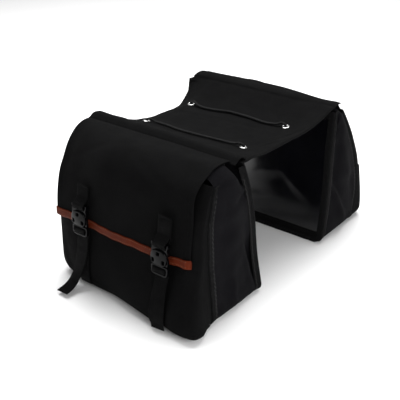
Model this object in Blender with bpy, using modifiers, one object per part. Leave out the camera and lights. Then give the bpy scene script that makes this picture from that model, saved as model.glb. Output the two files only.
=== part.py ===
"""Double bicycle pannier: two canvas bags joined by a saddle panel that lies over a rack.

Frame: X runs along the bags, Y across the bicycle, Z up. The origin is on the floor, midway between
the bags. The bicycle's forward direction is -X, so the bag at -Y is the left one. In the bags' own
sections u is the distance from the bicycle's centre plane, so y = side * u.
"""
import math

import bmesh
import bpy
from mathutils import Matrix, Vector

# Driving dimensions, in metres.
BAG_HALF_LENGTH = 0.160
FLAP_HALF_LENGTH = 0.147
# Radius of a bag's lower corners, along its outer seam and its inner seam.
OUTER_CORNERS = {"fore": 0.030, "aft": 0.016}
INNER_CORNERS = {"fore": 0.014, "aft": 0.014}
PATH_FLOOR = 0.0030
GAP = 0.0003

CANVAS = 0.0016
FLAP_THICKNESS = 0.0020
BOARD = 0.0030
PANEL_THICKNESS = 0.0026
SEAM_RADIUS = 0.0027

INNER_FOOT_U = 0.0900
INNER_TOP_U = 0.1375
INNER_TOP_Z = 0.2500
GUSSET_TOP_Z = 0.2400

SADDLE_HALF_WIDTH = 0.1375
SADDLE_HALF_LENGTH = 0.156
SADDLE_EDGE_Z = 0.2570
SADDLE_THICKNESS = 0.0020
SADDLE_FLAT_X = 0.050
SADDLE_FLAT_Y = 0.030
SADDLE_VALLEY_Y = 0.020

EYELET_X = 0.106
EYELET_Y = 0.062
EYELET_BARREL_RADIUS = 0.0046
EYELET_BORE_RADIUS = 0.0031
EYELET_FLANGE_RADIUS = 0.0068
CORD_RADIUS = 0.0022

FOLD_AXIS_U = 0.1385
FOLD_AXIS_Z = SADDLE_EDGE_Z
FLAP_AXIS_U = 0.1655
FLAP_AXIS_Z = 0.2685

# Where each strap sits along the bag, and how much higher than the aft one its buckle rides.
STRAP_X = {"fore": -0.076, "aft": 0.097}
BUCKLE_LIFT = {"fore": 0.011, "aft": 0.0}
# The stretch of a strap's height that moves with its buckle.
BUCKLE_ZONE = (0.0850, 0.1700)
WEBBING_HALF_WIDTH = 0.0125
WEBBING = 0.0014
BUCKLE_BACK_U = 0.2568
BUCKLE_DEPTH = 0.0080
BASE_DEPTH = 0.0060
SLOT_HALF_WIDTH = 0.0131

# How much further the load pushes a bag's face out at the foot of its aft end; the left bag is fuller.
LOAD_SWELL = {-1: 0.018, 1: 0.003}

# Outlines of a bag as (z, u) pairs, from the floor up.
SEAM_LINE = [(0.000, 0.2170), (0.030, 0.2180), (0.070, 0.2200), (0.130, 0.2240),
             (0.180, 0.2240), (0.215, 0.2150), (0.245, 0.2050)]
FACE_LINE = [(0.000, 0.2470), (0.012, 0.2520), (0.030, 0.2550), (0.060, 0.2550), (0.095, 0.2500),
             (0.120, 0.2450), (0.170, 0.2400), (0.205, 0.2320), (0.232, 0.2180), (0.245, 0.2090)]

# The flap's section as (u, z) pairs, from its hinge seam over the top and down the outside.
FLAP_LINE = [(0.1675, 0.2662), (0.1900, 0.2665), (0.2100, 0.2630), (0.2270, 0.2550), (0.2390, 0.2420),
             (0.2450, 0.2250), (0.2480, 0.2020), (0.2502, 0.1650), (0.2515, 0.1220)]
# The hem's section as (u, z) pairs, from the saddle's edge to the flap's seam.
HEM_LINE = [(0.1402, 0.2562), (0.1424, 0.2602), (0.1480, 0.2634), (0.1560, 0.2652), (0.1640, 0.2660)]

# Saddle sag along X as (x, depth) pairs; the free edge at the front hangs deepest.
SAG_LINE = [(-0.156, 0.050), (-0.136, 0.038), (-0.116, 0.031), (-0.096, 0.030), (-SADDLE_FLAT_X, 0.030),
            (SADDLE_FLAT_X, 0.030), (0.096, 0.027), (0.116, 0.025), (0.156, 0.014)]

# Loose ends of the lower straps as (u, z) pairs, from the buckle down.
TAILS = {"fore": [(0.2562, 0.0880), (0.2590, 0.0740), (0.2680, 0.0570), (0.2800, 0.0400),
                  (0.2920, 0.0260), (0.3050, 0.0120)],
         "aft": [(0.2562, 0.0870), (0.2570, 0.0800), (0.2582, 0.0700), (0.2594, 0.0600),
                 (0.2596, 0.0450), (0.2593, 0.0320), (0.2588, 0.0160), (0.2585, 0.0030)]}

SIDES = {"left": -1, "right": 1}
ENDS = {"fore": -1, "aft": 1}


def interpolate(line, value):
    """Read the second value of a list of pairs at a first value, straight between the pairs."""
    for (a, va), (b, vb) in zip(line, line[1:]):
        if value <= b:
            share = max(0.0, (value - a) / (b - a))
            return va + (vb - va) * share
    return line[-1][1]


def ease(share):
    """Rise smoothly from 0 at 0 to 1 at 1."""
    share = min(1.0, max(0.0, share))
    return share * share * (3.0 - 2.0 * share)


def load_swell(side, x, z):
    """How much further out a bag's face lies at (x, z) because of its load."""
    return LOAD_SWELL[side] * ease((x - 0.030) / 0.110) * ease((0.095 - z) / 0.070)


def make_material(name, color, roughness, metallic=0.0):
    material = bpy.data.materials.new(name)
    material.use_nodes = True
    shader = material.node_tree.nodes["Principled BSDF"]
    shader.inputs["Base Color"].default_value = (*color, 1.0)
    shader.inputs["Roughness"].default_value = roughness
    shader.inputs["Metallic"].default_value = metallic
    return material


def make_materials():
    return {
        "canvas": make_material("canvas", (0.020, 0.020, 0.022), 0.85),
        "coated": make_material("coated", (0.030, 0.031, 0.038), 0.35),
        "webbing": make_material("webbing", (0.018, 0.018, 0.019), 0.75),
        "leather": make_material("leather", (0.36, 0.075, 0.024), 0.50),
        "plastic": make_material("plastic", (0.012, 0.012, 0.014), 0.25),
        "steel": make_material("steel", (0.80, 0.80, 0.80), 0.22, 1.0),
        "cord": make_material("cord", (0.015, 0.015, 0.016), 0.80),
        "board": make_material("board", (0.10, 0.10, 0.10), 0.60),
    }


def make_collection(name):
    collection = bpy.data.collections.new(name)
    bpy.context.scene.collection.children.link(collection)
    return collection


def object_from_bmesh(name, bm, collection, material):
    mesh = bpy.data.meshes.new(name)
    bm.to_mesh(mesh)
    bm.free()
    mesh.materials.append(material)
    item = bpy.data.objects.new(name, mesh)
    collection.objects.link(item)
    return item


def make_sheet(name, rows, thickness, collection, material):
    """Loft an open sheet through rows of points and thicken it evenly about its middle."""
    bm = bmesh.new()
    grid = [[bm.verts.new(point) for point in row] for row in rows]
    for lower, upper in zip(grid, grid[1:]):
        for column in range(len(lower) - 1):
            bm.faces.new((lower[column], lower[column + 1], upper[column + 1], upper[column]))
    bmesh.ops.recalc_face_normals(bm, faces=bm.faces)
    item = object_from_bmesh(name, bm, collection, material)
    item.data.shade_smooth()
    solidify = item.modifiers.new("thickness", "SOLIDIFY")
    solidify.thickness = thickness
    solidify.offset = 0.0
    return item


def make_strip(name, section, half_width, side, centre_x, thickness, collection, material):
    """Make a band of constant width along X from its (u, z) section."""
    rows = [[(centre_x - half_width, side * u, z), (centre_x + half_width, side * u, z)] for u, z in section]
    return make_sheet(name, rows, thickness, collection, material)


def make_tube(name, points, radius, collection, material, radii=None):
    """Run a round cord or piping through the points."""
    curve = bpy.data.curves.new(name, "CURVE")
    curve.dimensions = "3D"
    curve.bevel_depth = radius
    curve.bevel_resolution = 2
    curve.use_fill_caps = True
    spline = curve.splines.new("POLY")
    spline.points.add(len(points) - 1)
    for index, point in enumerate(points):
        spline.points[index].co = (*point, 1.0)
        spline.points[index].radius = radii[index] if radii else 1.0
    curve.materials.append(material)
    item = bpy.data.objects.new(name, curve)
    collection.objects.link(item)
    return item


def make_pivot(name, location, collection, parent=None):
    """Add an empty on a joint's axis; what turns there is parented to it."""
    pivot = bpy.data.objects.new(name, None)
    pivot.empty_display_size = 0.02
    collection.objects.link(pivot)
    pivot.location = location
    if parent:
        hang_on(pivot, parent)
    return pivot


def hang_on(item, pivot):
    """Parent an object to a pivot and keep it where it is."""
    item.parent = pivot
    bpy.context.view_layer.update()
    item.matrix_parent_inverse = pivot.matrix_world.inverted()


def make_box(name, low, high, collection, material, bevel=0.0):
    """Make a box between two corners, with its edges rounded."""
    bm = bmesh.new()
    bmesh.ops.create_cube(bm, size=1.0)
    size = Vector(high) - Vector(low)
    centre = (Vector(high) + Vector(low)) / 2
    bmesh.ops.scale(bm, vec=size, verts=bm.verts)
    item = object_from_bmesh(name, bm, collection, material)
    item.location = centre
    if bevel:
        rounding = item.modifiers.new("rounding", "BEVEL")
        rounding.width = bevel
        rounding.segments = 1
    return item


def make_plate(name, outline, depth, back_u, centre_x, side, collection, material):
    """Extrude a flat (x, z) outline outwards from back_u."""
    bm = bmesh.new()
    verts = [bm.verts.new((centre_x + x, side * back_u, z)) for x, z in outline]
    face = bm.faces.new(verts)
    result = bmesh.ops.extrude_face_region(bm, geom=[face])
    moved = [item for item in result["geom"] if isinstance(item, bmesh.types.BMVert)]
    bmesh.ops.translate(bm, vec=(0.0, side * depth, 0.0), verts=moved)
    bmesh.ops.recalc_face_normals(bm, faces=bm.faces)
    return object_from_bmesh(name, bm, collection, material)


def cut_away(item, cutter):
    """Subtract a cutter from an object."""
    cutter.hide_render = True
    cutter.display_type = "WIRE"
    boolean = item.modifiers.new("cut", "BOOLEAN")
    boolean.operation = "DIFFERENCE"
    boolean.object = cutter


def inner_u(z):
    return INNER_FOOT_U + (INNER_TOP_U - INNER_FOOT_U) * z / INNER_TOP_Z


def half_path(top_z, radius):
    """Points (x, z) down one end of a bag, round its lower corner and along half of the floor."""
    corner_x = BAG_HALF_LENGTH - radius
    corner_z = PATH_FLOOR + radius
    points = [(BAG_HALF_LENGTH, top_z + (corner_z - top_z) * step / 4) for step in range(4)]
    for step in range(5):
        angle = math.pi / 2 * step / 4
        points.append((corner_x + radius * math.cos(angle), corner_z - radius * math.sin(angle)))
    points.append((corner_x / 2, PATH_FLOOR))
    return points


def edge_path(top_z, corners):
    """Points (x, z) down a bag's aft end, along the floor and up its fore end."""
    fore = [(-x, z) for x, z in reversed(half_path(top_z, corners["fore"]))]
    return half_path(top_z, corners["aft"]) + fore


def gusset(label, side, collection, material):
    """Strip that makes the ends and the bottom of a bag; its middle rests on the floor."""
    middle_drop = PATH_FLOOR - CANVAS / 2
    inset = 0.015
    rows = []
    inner_path = edge_path(GUSSET_TOP_Z, INNER_CORNERS)
    outer_path = edge_path(GUSSET_TOP_Z, OUTER_CORNERS)
    for (inner_x, inner_z), (outer_x, outer_z) in zip(inner_path, outer_path):
        first = inner_u(inner_z) + 2 * SEAM_RADIUS + 3 * GAP
        last = interpolate(SEAM_LINE, outer_z) - SEAM_RADIUS - GAP
        on_floor = max(inner_z, outer_z) < PATH_FLOOR + GAP
        drop = middle_drop if on_floor else 0.0
        rows.append([(inner_x, side * first, inner_z), (inner_x, side * (first + inset), inner_z - drop),
                     (outer_x, side * (last - inset), outer_z - drop), (outer_x, side * last, outer_z)])
    return make_sheet(f"{label}_gusset", rows, CANVAS, collection, material)


def outer_panel(label, side, collection, material):
    """Face of a bag: a pan that bulges out from its seam, with rounded lower corners."""
    heights = [PATH_FLOOR, 0.0050, 0.0100, 0.0180, 0.0300, 0.0450, 0.0600, 0.0750, 0.0900, 0.1200, 0.1700,
               0.2050, 0.2320, 0.2440]
    columns = 18
    curl_height = 0.030
    rows = []
    for z in heights:
        under = min(1.0, max(0.0, (curl_height - z) / (curl_height - PATH_FLOOR)))
        curl = (1.0 - under ** 4) ** 0.25
        seam = interpolate(SEAM_LINE, z) + SEAM_RADIUS + CANVAS / 2 + 3 * GAP
        row = []
        for column in range(columns + 1):
            across = math.sin(math.pi / 2 * (2 * column / columns - 1))
            radius = OUTER_CORNERS["aft" if across > 0.0 else "fore"]
            drop = max(0.0, PATH_FLOOR + radius - z) / radius
            x = across * (BAG_HALF_LENGTH - radius * (1.0 - math.sqrt(max(0.0, 1.0 - drop * drop))))
            swell = (1.0 - abs(across) ** 6) ** (1 / 6)
            bulge = interpolate(FACE_LINE, z) + load_swell(side, x, z) - seam
            row.append((x, side * (seam + bulge * swell * curl), z))
        rows.append(row)
    return make_sheet(f"{label}_outer_panel", rows, CANVAS, collection, material)


def seam_tube(label, name, line_u, corners, side, collection, material):
    points = [(x, side * line_u(z), z) for x, z in edge_path(GUSSET_TOP_Z, corners)]
    return make_tube(f"{label}_{name}", points, SEAM_RADIUS, collection, material)


def leaning_sheet(name, half_length, low_z, high_z, offset, thickness, side, collection, material):
    """Flat sheet with rounded lower corners, parallel to the leaning inner panel and offset from it."""
    corner_steps = 4
    radius = INNER_CORNERS["aft"]
    rows = []
    for step in range(corner_steps + 1):
        angle = math.pi / 2 * step / corner_steps
        z = low_z + radius * (1.0 - math.cos(angle))
        half = half_length - radius * (1.0 - math.sin(angle))
        rows.append([(-half, side * (inner_u(z) + offset), z), (half, side * (inner_u(z) + offset), z)])
    top_y = side * (inner_u(high_z) + offset)
    rows.append([(-half_length, top_y, high_z), (half_length, top_y, high_z)])
    return make_sheet(name, rows, thickness, collection, material)


def bag_body(label, side, collection, materials):
    canvas = materials["canvas"]
    leaning_sheet(f"{label}_inner_panel", BAG_HALF_LENGTH + SEAM_RADIUS, 0.0015, INNER_TOP_Z,
                  -PANEL_THICKNESS / 2, PANEL_THICKNESS, side, collection, materials["coated"])
    leaning_sheet(f"{label}_inner_board", BAG_HALF_LENGTH - 0.012, 0.014, GUSSET_TOP_Z - 0.006,
                  GAP + BOARD / 2, BOARD - GAP, side, collection, materials["board"])
    gusset(label, side, collection, canvas)
    outer_panel(label, side, collection, canvas)
    seam_tube(label, "outer_welt", lambda z: interpolate(SEAM_LINE, z), OUTER_CORNERS, side, collection,
              canvas)
    seam_tube(label, "inner_binding", lambda z: inner_u(z) + SEAM_RADIUS + 2 * GAP, INNER_CORNERS, side,
              collection, materials["webbing"])
    board_y = sorted((side * 0.1020, side * 0.2080))
    make_box(f"{label}_bottom_board", (-0.128, board_y[0], 0.0045), (0.128, board_y[1], 0.0075),
             collection, materials["board"], 0.0006)


def flap_parts(label, side, collection, materials):
    make_strip(f"{label}_top_hem", HEM_LINE, SADDLE_HALF_LENGTH, side, 0.0, CANVAS, collection,
               materials["canvas"])
    make_strip(f"{label}_flap", FLAP_LINE, FLAP_HALF_LENGTH, side, 0.0, FLAP_THICKNESS, collection,
               materials["canvas"])
    trim_low = 0.1180
    trim_high = 0.1300
    trim_thickness = 0.0016
    trim_u = 0.2515 + FLAP_THICKNESS / 2 + trim_thickness / 2 + GAP
    make_strip(f"{label}_flap_trim", [(trim_u + 0.0002, trim_low), (trim_u, trim_high)], FLAP_HALF_LENGTH,
               side, 0.0, trim_thickness, collection, materials["leather"])


def lifted(section, lift):
    """Raise the part of a strap's section that goes with its buckle."""
    low, high = BUCKLE_ZONE
    return [(u, z + lift if low < z < high else z) for u, z in section]


def buckle_outline(right_half, lift):
    """Mirror a half outline in x and raise it."""
    whole = right_half + [(-x, z) for x, z in reversed(right_half)]
    return [(x, z + lift) for x, z in whole]


def buckle_slot(body, label, centre_x, side, low_z, high_z, cutters, material):
    """Cut a slot for the webbing through a buckle part."""
    past = 0.005
    near, far = sorted((side * (BUCKLE_BACK_U - past), side * (BUCKLE_BACK_U + BUCKLE_DEPTH + past)))
    low = (centre_x - SLOT_HALF_WIDTH, near, low_z)
    high = (centre_x + SLOT_HALF_WIDTH, far, high_z)
    cut_away(body, make_box(label, low, high, cutters, material))


def upper_strap(label, centre_x, lift, side, collection, material):
    """Webbing folded round the socket's bar, both plies sewn to the flap."""
    section = [(0.2508, 0.1920), (0.2524, 0.1650), (0.2534, 0.1580), (0.2550, 0.1535), (0.2553, 0.1500),
               (0.2561, 0.1476), (0.2585, 0.1467), (0.2635, 0.1467), (0.2655, 0.1478), (0.2660, 0.1500),
               (0.2658, 0.1535), (0.2640, 0.1556), (0.2600, 0.1578), (0.2558, 0.1632), (0.2543, 0.1670),
               (0.2525, 0.1960)]
    make_strip(f"{label}_upper_strap", lifted(section, lift), WEBBING_HALF_WIDTH, side, centre_x, WEBBING,
               collection, material)


def socket(label, centre_x, lift, side, collection, cutters, material):
    """Upper half of the buckle: strap bar, shoulders and a spine between the two prong notches."""
    right = [(0.0090, 0.1142), (0.0090, 0.1305), (0.0160, 0.1320), (0.0165, 0.1390), (0.0150, 0.1450),
             (0.0172, 0.1525), (0.0145, 0.1535)]
    body = make_plate(f"{label}_socket", buckle_outline(right, lift), BUCKLE_DEPTH, BUCKLE_BACK_U, centre_x,
                      side, collection, material)
    buckle_slot(body, f"{label}_socket_slot", centre_x, side, 0.1445 + lift, 0.1490 + lift, cutters, material)


def buckle_base(label, centre_x, lift, side, collection, cutters, material):
    """Lower half of the buckle: a frame whose bars hold the adjustable strap."""
    right = [(0.0120, 0.0942), (0.0165, 0.0985), (0.0165, 0.1090), (0.0155, 0.1126)]
    base = make_plate(f"{label}_buckle_base", buckle_outline(right, lift), BASE_DEPTH, BUCKLE_BACK_U,
                      centre_x, side, collection, material)
    for number, (low_z, high_z) in enumerate([(0.0978, 0.1018), (0.1058, 0.1098)]):
        buckle_slot(base, f"{label}_base_slot_{number}", centre_x, side, low_z + lift, high_z + lift, cutters,
                    material)


def prongs(label, centre_x, lift, side, collection, material):
    """Two sprung arms that stand on the base, in the socket's notches."""
    middle_u = BUCKLE_BACK_U + BASE_DEPTH / 2
    for name, direction in {"front": -1, "rear": 1}.items():
        root = Vector((centre_x + direction * 0.0133, side * middle_u, 0.1131 + lift))
        arm = make_box(f"{label}_prong_{name}", (-0.0018, -0.0019, 0.0), (0.0018, 0.0019, 0.0160), collection,
                       material, 0.0005)
        arm.data.transform(Matrix.Translation(arm.location))
        arm.location = root


def lower_strap(label, centre_x, lift, side, tail, collection, material):
    """Webbing from the bag's lower edge, round the base's middle bar and down again as a loose tail."""
    rising = [(0.2540, 0.0140), (0.2560, 0.0200), (0.2574, 0.0320), (0.2577, 0.0450), (0.2575, 0.0600),
              (0.2562, 0.0700), (0.2550, 0.0800), (0.2530, 0.0960), (0.2546, 0.1030), (0.2566, 0.1076),
              (0.2600, 0.1086), (0.2636, 0.1078), (0.2648, 0.1050), (0.2648, 0.1020), (0.2634, 0.1000),
              (0.2600, 0.0998), (0.2572, 0.0994), (0.2552, 0.0978), (0.2548, 0.0950)]
    edges = (centre_x - WEBBING_HALF_WIDTH, centre_x + WEBBING_HALF_WIDTH)
    section = lifted(rising + tail, lift)
    rows = [[(x, side * (u + load_swell(side, x, z)), z) for x in edges] for u, z in section]
    make_sheet(f"{label}_lower_strap", rows, WEBBING, collection, material)


def strap_sets(label, side, collection, cutters, materials):
    for end, centre_x in STRAP_X.items():
        lift = BUCKLE_LIFT[end]
        name = f"{label}_{end}"
        upper_strap(name, centre_x, lift, side, collection, materials["webbing"])
        socket(name, centre_x, lift, side, collection, cutters, materials["plastic"])
        buckle_base(name, centre_x, lift, side, collection, cutters, materials["plastic"])
        prongs(name, centre_x, lift, side, collection, materials["plastic"])
        lower_strap(name, centre_x, lift, side, TAILS[end], collection, materials["webbing"])


def saddle_z(x, y):
    """Height of the saddle's middle surface; level over the flat of its valley, off centre to the right."""
    from_valley = abs(y - SADDLE_VALLEY_Y)
    valley_to_edge = abs(math.copysign(SADDLE_HALF_WIDTH, y - SADDLE_VALLEY_Y) - SADDLE_VALLEY_Y)
    slope = max(0.0, from_valley - SADDLE_FLAT_Y) / (valley_to_edge - SADDLE_FLAT_Y)
    share = math.cos(math.pi / 2 * slope) ** 1.2 if slope < 1.0 else 0.0
    return SADDLE_EDGE_Z - interpolate(SAG_LINE, x) * share


def saddle_frame(x, y):
    """Matrix that stands an object on the saddle at (x, y), along the cloth's normal."""
    step = 0.004
    slope_x = (saddle_z(x + step, y) - saddle_z(x - step, y)) / (2 * step)
    slope_y = (saddle_z(x, y + step) - saddle_z(x, y - step)) / (2 * step)
    normal = Vector((-slope_x, -slope_y, 1.0)).normalized()
    turn = Vector((0.0, 0.0, 1.0)).rotation_difference(normal).to_matrix().to_4x4()
    return Matrix.Translation((x, y, saddle_z(x, y))) @ turn


def saddle_panel(collection, cutters, materials):
    half_x = [SADDLE_FLAT_X, 0.075, 0.096, 0.116, 0.136, SADDLE_HALF_LENGTH]
    left_y = [SADDLE_HALF_WIDTH, 0.122, 0.105, 0.088, 0.072, 0.052, 0.030, SADDLE_FLAT_Y - SADDLE_VALLEY_Y]
    right_y = [0.030, 0.054, 0.070, 0.088, 0.105, 0.122, SADDLE_HALF_WIDTH]
    columns_x = [-x for x in reversed(half_x)] + [0.0] + half_x
    rows_y = [-y for y in left_y] + right_y
    rows = [[(x, y, saddle_z(x, y)) for x in columns_x] for y in rows_y]
    panel = make_sheet("saddle_panel", rows, SADDLE_THICKNESS, collection, materials["canvas"])
    for label, side in SIDES.items():
        for end, direction in ENDS.items():
            bm = bmesh.new()
            bmesh.ops.create_cone(bm, cap_ends=True, segments=16, radius1=EYELET_BARREL_RADIUS + 0.0005,
                                  radius2=EYELET_BARREL_RADIUS + 0.0005, depth=0.012)
            cutter = object_from_bmesh(f"hole_{label}_{end}", bm, cutters, materials["canvas"])
            cutter.matrix_world = saddle_frame(direction * EYELET_X, side * EYELET_Y)
            cut_away(panel, cutter)


def turned_ring(name, profile, frame, collection, material):
    """Turn a closed (radius, height) profile about the local Z axis."""
    segments = 16
    bm = bmesh.new()
    rings = []
    for radius, height in profile:
        angles = [2 * math.pi * step / segments for step in range(segments)]
        rings.append([bm.verts.new((radius * math.cos(a), radius * math.sin(a), height)) for a in angles])
    for here, there in zip(rings, rings[1:] + rings[:1]):
        for step in range(segments):
            after = (step + 1) % segments
            bm.faces.new((here[step], here[after], there[after], there[step]))
    bmesh.ops.recalc_face_normals(bm, faces=bm.faces)
    ring = object_from_bmesh(name, bm, collection, material)
    ring.data.shade_smooth()
    ring.matrix_world = frame
    return ring


def eyelets(collection, material):
    """Flanged tubes from above, each closed by a washer below."""
    face = SADDLE_THICKNESS / 2 + 0.0006
    rim = face + 0.0012
    foot = -face - 0.0022
    eyelet_profile = [(EYELET_BORE_RADIUS, foot), (EYELET_BARREL_RADIUS, foot), (EYELET_BARREL_RADIUS, face),
                      (EYELET_FLANGE_RADIUS, face), (EYELET_FLANGE_RADIUS - 0.0008, rim),
                      (EYELET_BORE_RADIUS + 0.0008, rim), (EYELET_BORE_RADIUS, face)]
    washer_inner = EYELET_BARREL_RADIUS + 0.0003
    washer_profile = [(washer_inner, -face), (EYELET_FLANGE_RADIUS, -face),
                      (EYELET_FLANGE_RADIUS - 0.0006, -face - 0.0010), (washer_inner, -face - 0.0010)]
    for label, side in SIDES.items():
        for end, direction in ENDS.items():
            frame = saddle_frame(direction * EYELET_X, side * EYELET_Y)
            turned_ring(f"{label}_{end}_eyelet", eyelet_profile, frame, collection, material)
            turned_ring(f"{label}_{end}_washer", washer_profile, frame, collection, material)


def lacing_cord(label, side, collection, material):
    """Cord that comes up through one eyelet, lies along the saddle and goes down through the other.

    Its ends swell into knots under the cloth.
    """
    lying = [(-0.098, 0.000), (-0.088, 0.003), (-0.074, 0.005), (-0.058, 0.004), (-0.040, 0.001),
             (-0.020, -0.002), (0.000, -0.003), (0.020, -0.002), (0.040, 0.000), (0.058, 0.002),
             (0.074, 0.003), (0.088, 0.002), (0.098, 0.000)]
    lift = SADDLE_THICKNESS / 2 + CORD_RADIUS + 0.0008
    heights = {0: 0.0034, 1: 0.0008, len(lying) - 2: 0.0008, len(lying) - 1: 0.0034}
    above = []
    for index, (x, sway) in enumerate(lying):
        y = side * (EYELET_Y - sway)
        above.append(Vector((x, y, saddle_z(x, y) + lift + heights.get(index, 0.0))))
    ends = {}
    for end, direction in ENDS.items():
        frame = saddle_frame(direction * EYELET_X, side * EYELET_Y)
        ends[end] = [frame @ Vector((0.0, 0.0, height)) for height in
                     (-0.0145, -0.0125, -0.0090, -0.0065, -0.0045, 0.0, 0.0046)]
    points = ends["fore"] + above + list(reversed(ends["aft"]))
    knot = [1.0, 2.0, 2.2, 1.6, 1.0, 1.0, 1.0]
    radii = knot + [1.0] * len(above) + list(reversed(knot))
    make_tube(f"{label}_lacing_cord", points, CORD_RADIUS, collection, material, radii)


def add_pivots(collection):
    """Hang every moving piece on the axis that it turns about."""
    flap_names = ("_flap", "_flap_trim", "_upper_strap", "_socket")
    for label, side in SIDES.items():
        pieces = [item for item in collection.objects if item.name.startswith(label) and item.type != "EMPTY"]
        fold = make_pivot(f"{label}_fold_axis", (0.0, side * FOLD_AXIS_U, FOLD_AXIS_Z), collection)
        hinge = make_pivot(f"{label}_flap_axis", (0.0, side * FLAP_AXIS_U, FLAP_AXIS_Z), collection, fold)
        for item in pieces:
            if item.name.endswith(flap_names):
                hang_on(item, hinge)
            elif not item.name.endswith(("_eyelet", "_washer", "_lacing_cord")):
                hang_on(item, fold)


def clear_scene():
    for item in list(bpy.data.objects):
        bpy.data.objects.remove(item, do_unlink=True)


def build():
    clear_scene()
    materials = make_materials()
    collection = make_collection("pannier_bag")
    cutters = make_collection("cutters")
    saddle_panel(collection, cutters, materials)
    eyelets(collection, materials["steel"])
    for label, side in SIDES.items():
        bag_body(label, side, collection, materials)
        flap_parts(label, side, collection, materials)
        strap_sets(label, side, collection, cutters, materials)
        lacing_cord(label, side, collection, materials["cord"])
    add_pivots(collection)


build()
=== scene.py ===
"""Looks of the double pannier bag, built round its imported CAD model.

The frame is the CAD's: X along the bags with the front at -X, Y across with the left bag at -Y, Z up,
in metres. In a bag's own sections u is the distance from the centre plane, so y = side * u.
"""
import math

import bmesh
import bpy
import numpy as np
from mathutils import Matrix, Vector


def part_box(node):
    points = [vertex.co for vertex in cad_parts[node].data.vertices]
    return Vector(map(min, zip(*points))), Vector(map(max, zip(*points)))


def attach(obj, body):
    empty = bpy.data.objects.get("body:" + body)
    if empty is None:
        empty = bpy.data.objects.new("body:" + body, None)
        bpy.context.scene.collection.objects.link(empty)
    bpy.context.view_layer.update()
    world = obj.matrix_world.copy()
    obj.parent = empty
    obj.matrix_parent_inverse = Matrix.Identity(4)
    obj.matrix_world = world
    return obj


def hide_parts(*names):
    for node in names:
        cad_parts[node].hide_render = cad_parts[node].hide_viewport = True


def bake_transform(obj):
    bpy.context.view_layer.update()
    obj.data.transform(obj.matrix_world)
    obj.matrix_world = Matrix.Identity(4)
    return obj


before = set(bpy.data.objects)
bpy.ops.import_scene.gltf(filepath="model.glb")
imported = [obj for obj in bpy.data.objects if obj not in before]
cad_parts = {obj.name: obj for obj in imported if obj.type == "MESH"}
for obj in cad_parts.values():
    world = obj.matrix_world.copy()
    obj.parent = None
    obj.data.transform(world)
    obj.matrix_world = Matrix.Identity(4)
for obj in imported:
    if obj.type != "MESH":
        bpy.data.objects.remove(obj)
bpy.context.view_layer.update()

SIDES = {"left": -1, "right": 1}
ENDS = {"fore": -1, "aft": 1}


def middle_of(node):
    """Middle of a CAD node's box."""
    low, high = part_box(node)
    return (low + high) / 2


# Driving dimensions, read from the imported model.
BAG_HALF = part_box("right_gusset")[1].x
FLAP_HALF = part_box("right_flap")[1].x
SADDLE_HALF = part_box("saddle_panel")[1].x
STRAP_X = {end: middle_of(f"right_{end}_socket").x for end in ENDS}
BUCKLE_LIFT = {end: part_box(f"right_{end}_socket")[0].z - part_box("right_aft_socket")[0].z for end in ENDS}
BUCKLE_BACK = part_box("right_aft_socket")[0].y
EYELETS = {(label, end): middle_of(f"{label}_{end}_eyelet") for label in SIDES for end in ENDS}

# Radii of a bag's lower corners: at both ends of its face, and round its inner panel.
FORE_CORNER = 0.030
AFT_CORNER = 0.016
INNER_CORNER = 0.014
# Height of the seams that run along the floor, and the height below which a seam counts as one of them.
FLOOR_PATH = 0.0030
FLOOR_SEAM = 0.0070
WEBBING_HALF = 0.0125
WEBBING = 0.0014
CORD_RADIUS = 0.0022
# How far each stiffener board stands behind its inner panel's line, and ends below its CAD box.
BOARD_GAP = 0.0055
BOARD_HEADROOM = 0.012
# Thickness of each kind of sheet, in metres.
THICKNESS = {"saddle": 0.0014, "hem": 0.0020, "flap": 0.0018, "body": 0.0015, "edging": 0.0012,
             "leather": 0.0010, "panel": 0.0022, "foot": 0.0012, "head": 0.0046, "board": 0.0026}
# How far up each inner panel its foot band reaches, how deep its head band is, and where tape and panel end.
FOOT_BAND = 0.024
HEAD_BAND = 0.014
TAPE_TOP = {"left": 0.2595, "right": 0.2540}
PANEL_TOP = {"left": 0.2550, "right": 0.2500}

# Outlines of a bag as (z, u) pairs, from the floor up: its outer seam, its face and its inner panel.
SEAM_LINE = [(0.000, 0.2170), (0.030, 0.2180), (0.070, 0.2200), (0.130, 0.2240), (0.180, 0.2240),
             (0.215, 0.2150), (0.245, 0.2050)]
SLOPING_SEAM = [(0.000, 0.2080), (0.030, 0.2180), (0.070, 0.2225), (0.100, 0.2190), (0.147, 0.2060),
                (0.180, 0.1920), (0.208, 0.1770), (0.245, 0.1520)]
FORE_SEAM = [(0.000, 0.2170), (0.070, 0.2200), (0.130, 0.2215), (0.180, 0.2110), (0.215, 0.1950),
             (0.245, 0.1740)]
FACE_LINE = [(0.000, 0.2570), (0.012, 0.2590), (0.030, 0.2595), (0.060, 0.2570), (0.095, 0.2497),
             (0.120, 0.2450), (0.170, 0.2400), (0.205, 0.2320), (0.232, 0.2180), (0.245, 0.2090)]
INNER_LINES = {"left": [(0.000, 0.0900), (0.250, 0.1375)],
               "right": [(0.000, 0.1005), (0.020, 0.1029), (0.073, 0.1094), (0.135, 0.1150), (0.200, 0.1215),
                         (0.255, 0.1290)]}
# How far the aft edge of each inner panel bows out, as (z, x offset) pairs.
BOW_LINES = {"left": [(0.000, 0.000), (0.080, 0.000), (0.150, 0.005), (0.200, 0.006), (0.235, 0.003),
                      (0.255, 0.000)],
             "right": [(0.000, 0.000), (0.070, 0.002), (0.120, 0.002), (0.170, 0.001), (0.255, 0.000)]}

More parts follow.
